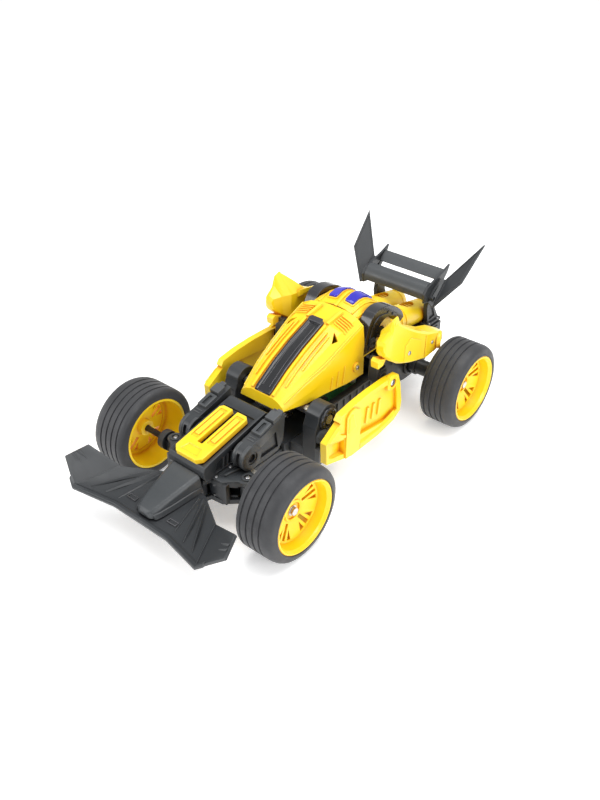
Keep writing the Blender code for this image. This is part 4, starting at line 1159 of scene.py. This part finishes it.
# ---------------------------------------------------------------- hips, fairings and rear wing
def make_hips():
    """Hip brackets: a round head on a ribbed block, with a facetted boss and a slotted block outside."""
    def bracket():
        outline = [(-34, 33.3), (-34, 56), (-31, 62), *circle(HIP, 12, 16, math.radians(150),
                                                              math.radians(-150)), (-6, 48), (1.5, 40),
                   (1.5, 22.4), (-34, 22.4)]
        body = Form().prism("X", outline, 35.6, 48.8)
        pocket = [(-14, 37), (-13, 46), (-4, 41), (-3, 30), (-14, 30)]
        body = body.carved(Form().rod("X", HIP, 4.6, 30, 60), Form().prism("X", pocket, 47.0, 52))
        return body.box((22.6, -33.6, 22.4), (36.4, 1.2, 33.6))

    both("hip_look", bracket, BLACK, "chassis", ["hip_bracket_SIDE"], width=0.6, angle=25)

    def boss():
        form = Form()
        form.turned("X", (-26.6, 47.6), [(7.4, 48.2), (7.4, 50.6), (5.0, 53.6), (3.2, 53.6), (3.2, 51.8),
                                         (0.6, 51.8), (0.6, 48.2)], 9)
        block = Form().prism("X", [(-34, 24), (-34, 38.6), (-30, 40.4), (-18.6, 38.4), (-18.6, 24)], 48.2,
                             52.6)
        slots = Form()
        for y in (-31.6, -27.4, -23.2):
            slots.prism("X", [(y, 27), (y + 2.2, 27), (y + 2.2, 36.4), (y, 36.4)], 51.2, 55)
        return form.joined(block.carved(slots))

    both("hip_boss", boss, GREY, "chassis", width=0.35, angle=20)

    def cap():
        form = Form().turned("X", HIP, [(9.6, 48.4), (9.6, 50.2), (8.2, 51.2), (5.2, 51.2), (5.2, 48.4)], 48)
        for place in circle(HIP, 7.2, 6):
            form.prism("X", circle(place, 0.9, 6), 50.8, 51.9)
        return form

    both("hip_cap", cap, GLOSS, "chassis", width=0.25)


FAIRING_X = 13.6


def make_fairings():
    """The paired rear barrels with bands, an oval slot and inlets."""
    stations = ((102.6, 77.0, 9.6), (104.4, 77.3, 10.9), (108, 78, 12.0), (111.4, 77.4, 12.0),
                (111.8, 77.3, 11.2), (114.6, 76.8, 11.2), (115.0, 76.7, 11.9), (118.4, 76.1, 11.9),
                (118.8, 76.0, 11.1), (121.6, 75.5, 11.1), (122.0, 75.4, 11.8), (140, 72.2, 11.3),
                (156, 69.5, 10.7), (156.4, 69.4, 10.1), (159, 69.0, 10.1), (159.4, 68.9, 10.6),
                (163, 68.3, 10.3), (166.8, 67.6, 8.8))

    def barrel():
        form = Form().skin([[(x, y, z) for x, z in circle((FAIRING_X, height), radius, 40)]
                            for y, height, radius in stations])
        slot = [(FAIRING_X + 5 * math.cos(angle), 137 + 9 * math.sin(angle))
                for angle in [math.tau * k / 24 for k in range(24)]]
        openings = Form().rod("Y", (FAIRING_X, 69.2), 5.6, 158, 180)
        openings.raised(lambda x, y: (x, y, 84.5 - (y - 128) * 0.16), slot, -3.4, 5.0)
        return form.carved(Form().box((-10, 90, 30), (40, 190, 61.4)), openings)

    both("fairing_look", barrel, YELLOW, "chassis", ["fairing_SIDE"], width=0.3, angle=25)

    def inlets():
        form = Form().turned("Y", (FAIRING_X, 69.2), [(5.7, 160), (5.7, 168.2), (6.9, 168.2), (7.8, 166.4)],
                             40)
        for y in (131, 135, 139, 143):
            form.box((FAIRING_X - 4.4, y, 76.5), (FAIRING_X + 4.4, y + 1.4, 82.2 - (y - 131) * 0.16))
        return form

    both("fairing_inlets", inlets, YELLOW, "chassis", width=0.2)


def plate_normal(points):
    return (points[1] - points[0]).cross(points[2] - points[1]).normalized()


def plate_solid(corners, thickness):
    """A flat plate through its corners, with its thickness shared by both sides."""
    points = [Vector(corner) for corner in corners]
    normal = plate_normal(points) * thickness / 2
    return [[point - normal for point in points], [point + normal for point in points]]


ENDPLATE_BLADE = ((39.4, 138.4, 88), (38.5, 159, 107), (61, 179, 140), (57.8, 152, 113))
ENDPLATE_FOOT = ((34.5, 138.5, 91), (34.5, 158.5, 107), (38.7, 159, 106.9), (39.5, 138.4, 88.2))


def make_rear_wing():
    """The rear wing: two planes, inner plates, canted end plates and struts."""
    upper = curve_through([(133.2, 97.2), (134.2, 101.6), (138.2, 105.8), (143.4, 107.6), (147.2, 106.4)])
    lower = curve_through([(147.6, 104.4), (146.2, 99.2), (141, 95.3), (136, 94.2), (133.6, 95.2)])
    piece("main_plane", Form().prism("X", upper + lower, -31.6, 31.6), GREY, "rear_wing", ["wing_plane"],
          width=0.3, angle=35)
    flap = [(157.2, 105.6), (158.2, 104.4), (162.4, 107.4), (166.2, 110.7), (167, 112.4), (165.6, 112.5),
            (161.4, 109.9)]
    piece("flap_look", Form().prism("X", flap, -31.4, 31.4), GREY, "rear_wing", ["wing_flap"], width=0.25,
          angle=35)

    def inner_plate():
        outline = [(133.6, 92), (132.8, 100.6), (137, 105.4), (150, 109.4), (160, 111.8), (172, 116.2),
                   (169, 110), (166, 106.6), (157, 93), (152, 91.4), (144, 90.6)]
        window = Form().prism("X", [(149.6, 100), (160, 105), (155.8, 99), (152, 97.6)], 30, 36)
        form = Form().prism("X", outline, 31.6, 33.7).carved(window)
        form.prism("X", [(134.6, 93.2), (134, 98.6), (135.4, 98.4), (136, 93.6)], 33.2, 34.6)
        form.rod("X", WING_HINGE, 1.5, 23.2, 32.0)
        return form.turned("X", WING_HINGE, [(3.0, 29.9), (3.0, 32.0), (1.4, 32.0), (1.4, 29.9)], 32)

    both("inner_plate", inner_plate, BLACK, "rear_wing", width=0.3, angle=25)

    def endplate():
        form = Form().skin(plate_solid(ENDPLATE_BLADE, 1.9))
        form.skin(plate_solid(ENDPLATE_FOOT, 2.1))
        return form

    both("endplate_look", endplate, BLACK, "rear_wing", ["endplate_SIDE"], width=0.35, angle=25)

    def endplate_trim():
        """Stiffening beads near the blade's edges, the bend's rib and the bracket with its knob."""
        form = Form()
        blade = [Vector(corner) for corner in ENDPLATE_BLADE]
        normal = plate_normal(blade)
        middle = sum(blade, Vector()) / 4
        inset = [point.lerp(middle, 0.16) for point in blade]
        for face in (1, -1):
            lift = normal * face * 0.95
            for start, end in zip(inset, inset[1:] + inset[:1]):
                along = (end - start).normalized()
                side = normal.cross(along) * 0.45
                form.skin([[p + lift - side - lift * 0.5, p + lift + side - lift * 0.5, p + lift * 1.5
                            + side * 0.5, p + lift * 1.5 - side * 0.5] for p in (start, end)])
        fold = (Vector((38.9, 141, 90.6)), Vector((38.4, 157.4, 105.6)))
        form.skin([[p + Vector((-2.6, 0, -0.6)), p + Vector((1.4, 0, -0.8)), p + Vector((0.6, 0, 2.6))]
                   for p in fold])
        form.prism("X", [(139.4, 91.6), (139.6, 95.6), (147, 102), (152, 104.4), (152.6, 101.4)], 33.6, 35.6)
        form.rod("X", (141.8, 95.2), 1.9, 33.6, 38.2)
        return form

    both("endplate_trim", endplate_trim, BLACK, "rear_wing", width=0.15, angle=20)

    def strut():
        outline = [(149, 61.4), (149.6, 66), (146.8, 80), (148.8, 91), (148.3, 97.5), (149.6, 100.2),
                   (152, 101), (154.6, 100.2), (156, 98), (157, 88), (160.6, 76), (166.6, 66), (168, 61.4)]
        recess = Form().prism("X", [(152.4, 67), (150.6, 80), (152.4, 88), (155.2, 82), (161, 68)], 28.3, 32)
        form = Form().prism("X", outline, 25.3, 29.5).carved(recess, Form().rod("X", WING_HINGE, 1.9, 20, 33))
        form.prism("X", [(147.4, 61.3), (147.4, 64), (169.4, 64), (169.4, 61.3)], 23.6, 31.4)
        return form

    both("strut_look", strut, BLACK, "chassis", ["wing_strut_SIDE"], width=0.35, angle=25)
    both("strut_screws", lambda: screws("Z", 1, ((30.2, 151), 64, 1.2), ((30.2, 165), 64, 1.2)), STEEL,
         "chassis", width=0)


# ---------------------------------------------------------------- front suspension
ARM_TOP = 44.0
ARM_PLATE_TOP = 44.9


def make_suspension():
    """Plates over the front arms with a lighter rim, pivot bosses and screws."""
    def plate():
        outline = [(16.5, -116), (27, -115), (36, -106.4), *circle((38, -99), 6.4, 8, math.radians(-80),
                                                                   math.pi), (25.4, -87), (21.4, -79),
                   (17, -79)]
        form = Form().prism("Z", outline, ARM_TOP - 0.6, ARM_TOP + 0.9)
        hole = Form().prism("Z", [(20.4, -110.6), (26, -109.8), (30, -103), (28, -93), (22, -88)], ARM_TOP
                            + 0.1, ARM_TOP + 4)
        form = form.carved(hole)
        form.turned("Z", (38, -99), [(4.6, ARM_TOP), (4.6, ARM_TOP + 2.0), (2.7, ARM_TOP + 2.0),
                                     (2.7, ARM_TOP)], 32)
        form.prism("Z", [(22.6, -108.2), (24.2, -108), (26.8, -94), (25.2, -94)], ARM_TOP - 0.2, ARM_TOP
                   + 1.4)
        return form

    both("arm_plate", plate, GREY, "chassis", width=0.3, angle=20)

    def rods():
        """Thin moulded ribs on the front and rear edges of the lower arm."""
        form = Form()
        for start, end in (((19, -115.4), (34, -105.4)), ((23.4, -86), (35.6, -93.4))):
            for z0, z1 in ((28.0, 30.2), (37.6, 40.0)):
                form.skin([[(x, y - 0.9, z0), (x, y + 0.9, z0), (x, y + 0.9, z1), (x, y - 0.9, z1)]
                           for x, y in (start, end)])
        return form

    both("arm_ribs", rods, BLACK, "chassis", width=0.2)
    both("arm_screws", lambda: screws("Z", 1, ((19.6, -113), ARM_PLATE_TOP, 1.3),
                                      ((19.4, -82), ARM_PLATE_TOP, 1.3), ((19.4, -98), ARM_PLATE_TOP, 1.5)),
         STEEL, "chassis", width=0)
    both("kingpin_screw", lambda: screws("Z", 1, ((38, -99), ARM_PLATE_TOP, 1.9)), STEEL, "knuckle_SIDE",
         width=0)
    servo = Form().rod("Z", (0, -64), 5.4, 39.4, 41.6)
    servo.prism("Z", [(-1.6, -64), (1.6, -64), (1.2, -78), (-1.2, -78)], 40.2, 42.0)
    for y in (-73, -55):
        servo.box((-14.4, y - 1.6, 34), (14.4, y + 1.6, 35.4))
    piece("servo_horn", servo, GREY, "chassis", width=0.3)
    piece("servo_screw", screws("Z", 1, ((0, -64), 42.0, 1.6)), STEEL, "chassis", width=0)


# ---------------------------------------------------------------- chassis, electronics and underside
def tube(points, radius, segments=10):
    """A round wire through points, as one closed skin."""
    path = [Vector(point) for point in curve_through(points, 5)]
    rings = []
    guide = Vector((0, 0, 1))
    for i, point in enumerate(path):
        along = (path[min(i + 1, len(path) - 1)] - path[max(i - 1, 0)]).normalized()
        side = along.cross(guide)
        side = side.normalized() if side.length > 0.05 else along.cross(Vector((1, 0, 0))).normalized()
        other = side.cross(along)
        rings.append([point + side * radius * math.cos(math.tau * k / segments)
                      + other * radius * math.sin(math.tau * k / segments) for k in range(segments)])
    return Form().skin(rings)


BOARD_TOP = 41.5


def make_electronics():
    """Parts on the board, speaker grille, motor ends, and the wires between them."""
    chips = Form()
    for x, y, half_x, half_y, height in ((-10, 24, 5, 5, 1.6), (8, 38, 3.5, 5.5, 1.4), (-12, 44, 2.6, 4, 1.2),
                                         (14, 20, 2, 3, 1.0)):
        chips.box((x - half_x, y - half_y, BOARD_TOP), (x + half_x, y + half_y, BOARD_TOP + 0.2 + height))
    piece("board_chips", chips, BLACK, "chassis", width=0.15)
    pins = Form()
    for side in (1, -1):
        for step in range(6):
            y = 19.6 + 1.7 * step
            pins.box((-10 + side * 5.0, y, BOARD_TOP), (-10 + side * 6.4, y + 0.7, 42.1))
    for x, y, radius, height in ((12, 50, 3.0, 6.0), (4, 54, 2.4, 5.0), (-4, 53, 1.6, 3.0)):
        pins.rod("Z", (x, y), radius, BOARD_TOP, BOARD_TOP + 0.1 + height)
    piece("board_pins", pins, STEEL, "chassis", width=0.12)
    sockets = Form()
    for x in (-18, 16):
        sockets.box((x - 2.4, 54, BOARD_TOP), (x + 2.4, 59, 46))
    piece("board_sockets", sockets, NYLON, "chassis", width=0.3)
    grille = Form().turned("Z", (0, 71), [(9.2, 43.6), (9.2, 44.8), (7.6, 45.2), (7.4, 44.2), (7.4, 43.6)],
                           48)
    grille.turned("Z", (0, 71), [(4.6, 43.8), (4.6, 44.9), (3.8, 44.9), (3.8, 43.8)], 36)
    grille.rod("Z", (0, 71), 1.6, 43.8, 44.9)
    piece("speaker_grille", grille, BLACK, "chassis", width=0.2)
    ends = Form()
    for centre, face, radius in (((99.25, 38), -28.6, 9.5), (LIFT_MOTOR, -27.0, 7.5)):
        ends.turned("X", centre, [(radius * 0.98, face + 0.2), (radius * 0.98, face - 0.5),
                                  (radius * 0.4, face - 0.9), (0.4, face - 0.9), (0.4, face + 0.2)], 40)
        for offset in (radius * 0.6, -radius * 0.6):
            ends.box((face - 2.0, centre[0] + offset - 0.8, centre[1] - 0.3),
                     (face - 0.3, centre[0] + offset + 0.8, centre[1] + 0.3))
    piece("motor_ends", ends, COPPER, "chassis", width=0.12)
    for name, material, shift in (("wire_positive", RED, 0.0), ("wire_negative", BLACK, 1.6)):
        wire = tube([(-18 + shift, 57, 46), (-18 + shift, 62, 48.2), (-21 + shift, 72, 48.2),
                     (-22 + shift, 80, 49.4)], 0.6)
        piece(name, wire, material, "chassis", width=0)




def make_chassis_trim():
    """Ribs, screws and panel frames on the chassis, its deck, the underside and the battery door."""
    def flank():
        form = Form()
        for y in range(8, 84, 9):
            form.prism("X", [(y, 20.5), (y + 2.2, 20.5), (y + 2.2, 47.5), (y, 47.5)], 29.8, 31.0)
        form.prism("X", [(3, 47.4), (85, 47.4), (85, 49.4), (3, 49.4)], 29.8, 31.6)
        form.prism("X", [(3, 18.4), (85, 18.4), (85, 20.6), (3, 20.6)], 29.8, 31.2)
        form.prism("X", [(90, 50), (90, 59), (104, 59), (98, 50)], 32.6, 34.0)
        form.prism("X", [(136, 53), (140, 59), (162, 59), (160, 53)], 32.6, 34.0)
        form.turned("X", REAR_AXLE, [(11.0, 32.8), (11.0, 34.6), (9.2, 35.4), (8.4, 34.6), (8.4, 32.8)], 48)
        for y in (-30, -20, -10):
            form.box((21.8, y, 19.2), (22.5, y + 2.4, 31.6))
        return form

    both("chassis_flank", flank, BLACK, "chassis", width=0.25)
    both("flank_screws", lambda: screws("X", 1, ((110, 54), 33.0, 2.0), ((150, 48), 33.0, 2.0)), STEEL,
         "chassis", width=0)
    deck = Form()
    for y in (92, 166):
        deck.box((-29, y - 1.1, 60.8), (29, y + 1.1, 62.0))
    deck.box((-1.4, 94, 60.8), (1.4, 164, 62.4))
    for side in (1, -1):
        deck.box((side * 28.4, 94, 60.8), (side * 30.6, 146, 62.4))
    piece("deck_ribs", deck, BLACK, "chassis", width=0.3)
    corners = ((-26.6, 8), (26.6, 8), (-26.6, 80), (26.6, 80), (-18, -34), (18, -34))
    under = screws("Z", -1, *[(corner, 18.0, 1.8) for corner in corners])
    piece("underside_screws", under, STEEL, "chassis", width=0)
    door = Form()
    for y in range(12, 62, 6):
        door.box((-16, y, 17.2), (16, y + 1.6, 18.2))
    door.box((-6, 63.6, 17.2), (6, 67.2, 18.2))
    piece("door_ribs", door, BLACK, "battery_door", width=0.3)
    switch = Form()
    for y in (78.5, 79.2):
        switch.box((8.9, y, 16.2), (11.7, y + 0.35, 17.0))
    piece("switch_ribs", switch, BLACK, "power_switch", width=0.08)
    case = Form()
    for y in (94, 104, 114, 127, 135):
        for side in (1, -1):
            case.box((side * 7.8, y, 22), (side * 9.0, y + 1.8, 56))
    for y0, y1 in ((86.2, 88), (139.4, 141)):
        case.box((-6, y0, 30), (6, y1, 34))
    piece("gearcase_ribs", case, BLACK, "chassis", width=0.25)
    both("housing_rings", lambda: Form().turned("X", REAR_AXLE, [(8.2, 40), (8.2, 42), (6.9, 42),
                                                                 (6.9, 40)], 40).turned("X", REAR_AXLE,
        [(8.4, 55), (8.4, 59.6), (6.9, 59.6), (6.9, 55)], 40), BLACK, "chassis", width=0.2)
    bay = Form()
    for side in (1, -1):
        for y in (54, 64, 74):
            bay.box((side * 22.8, y, 69), (side * 23.5, y + 2, 92))
    for x in (-14, -7, 0, 7, 14):
        bay.box((x - 0.8, 98.8, 70), (x + 0.8, 99.8, 88))
    piece("head_bay_ribs", bay, YELLOW, "torso", width=0.2)


make_camera()
make_floor()
make_lights()

# every CAD node keeps its shape and gets its material and rounded edges
for part in frame["record"]["subparts"]:
    node = nodes[part["node"]]
    node.data.materials.clear()
    node.data.materials.append(BY_SLOT[part["material_slot"]])
    node.data.shade_smooth()
    soften(node, 0.35)

for make in (make_wheels, make_front_wing, make_spine, make_nose, make_legs, make_chest, make_channel,
             make_canopy, make_head, make_arches, make_pods, make_forearms, make_hips, make_fairings,
             make_rear_wing, make_suspension, make_electronics, make_chassis_trim):
    make()
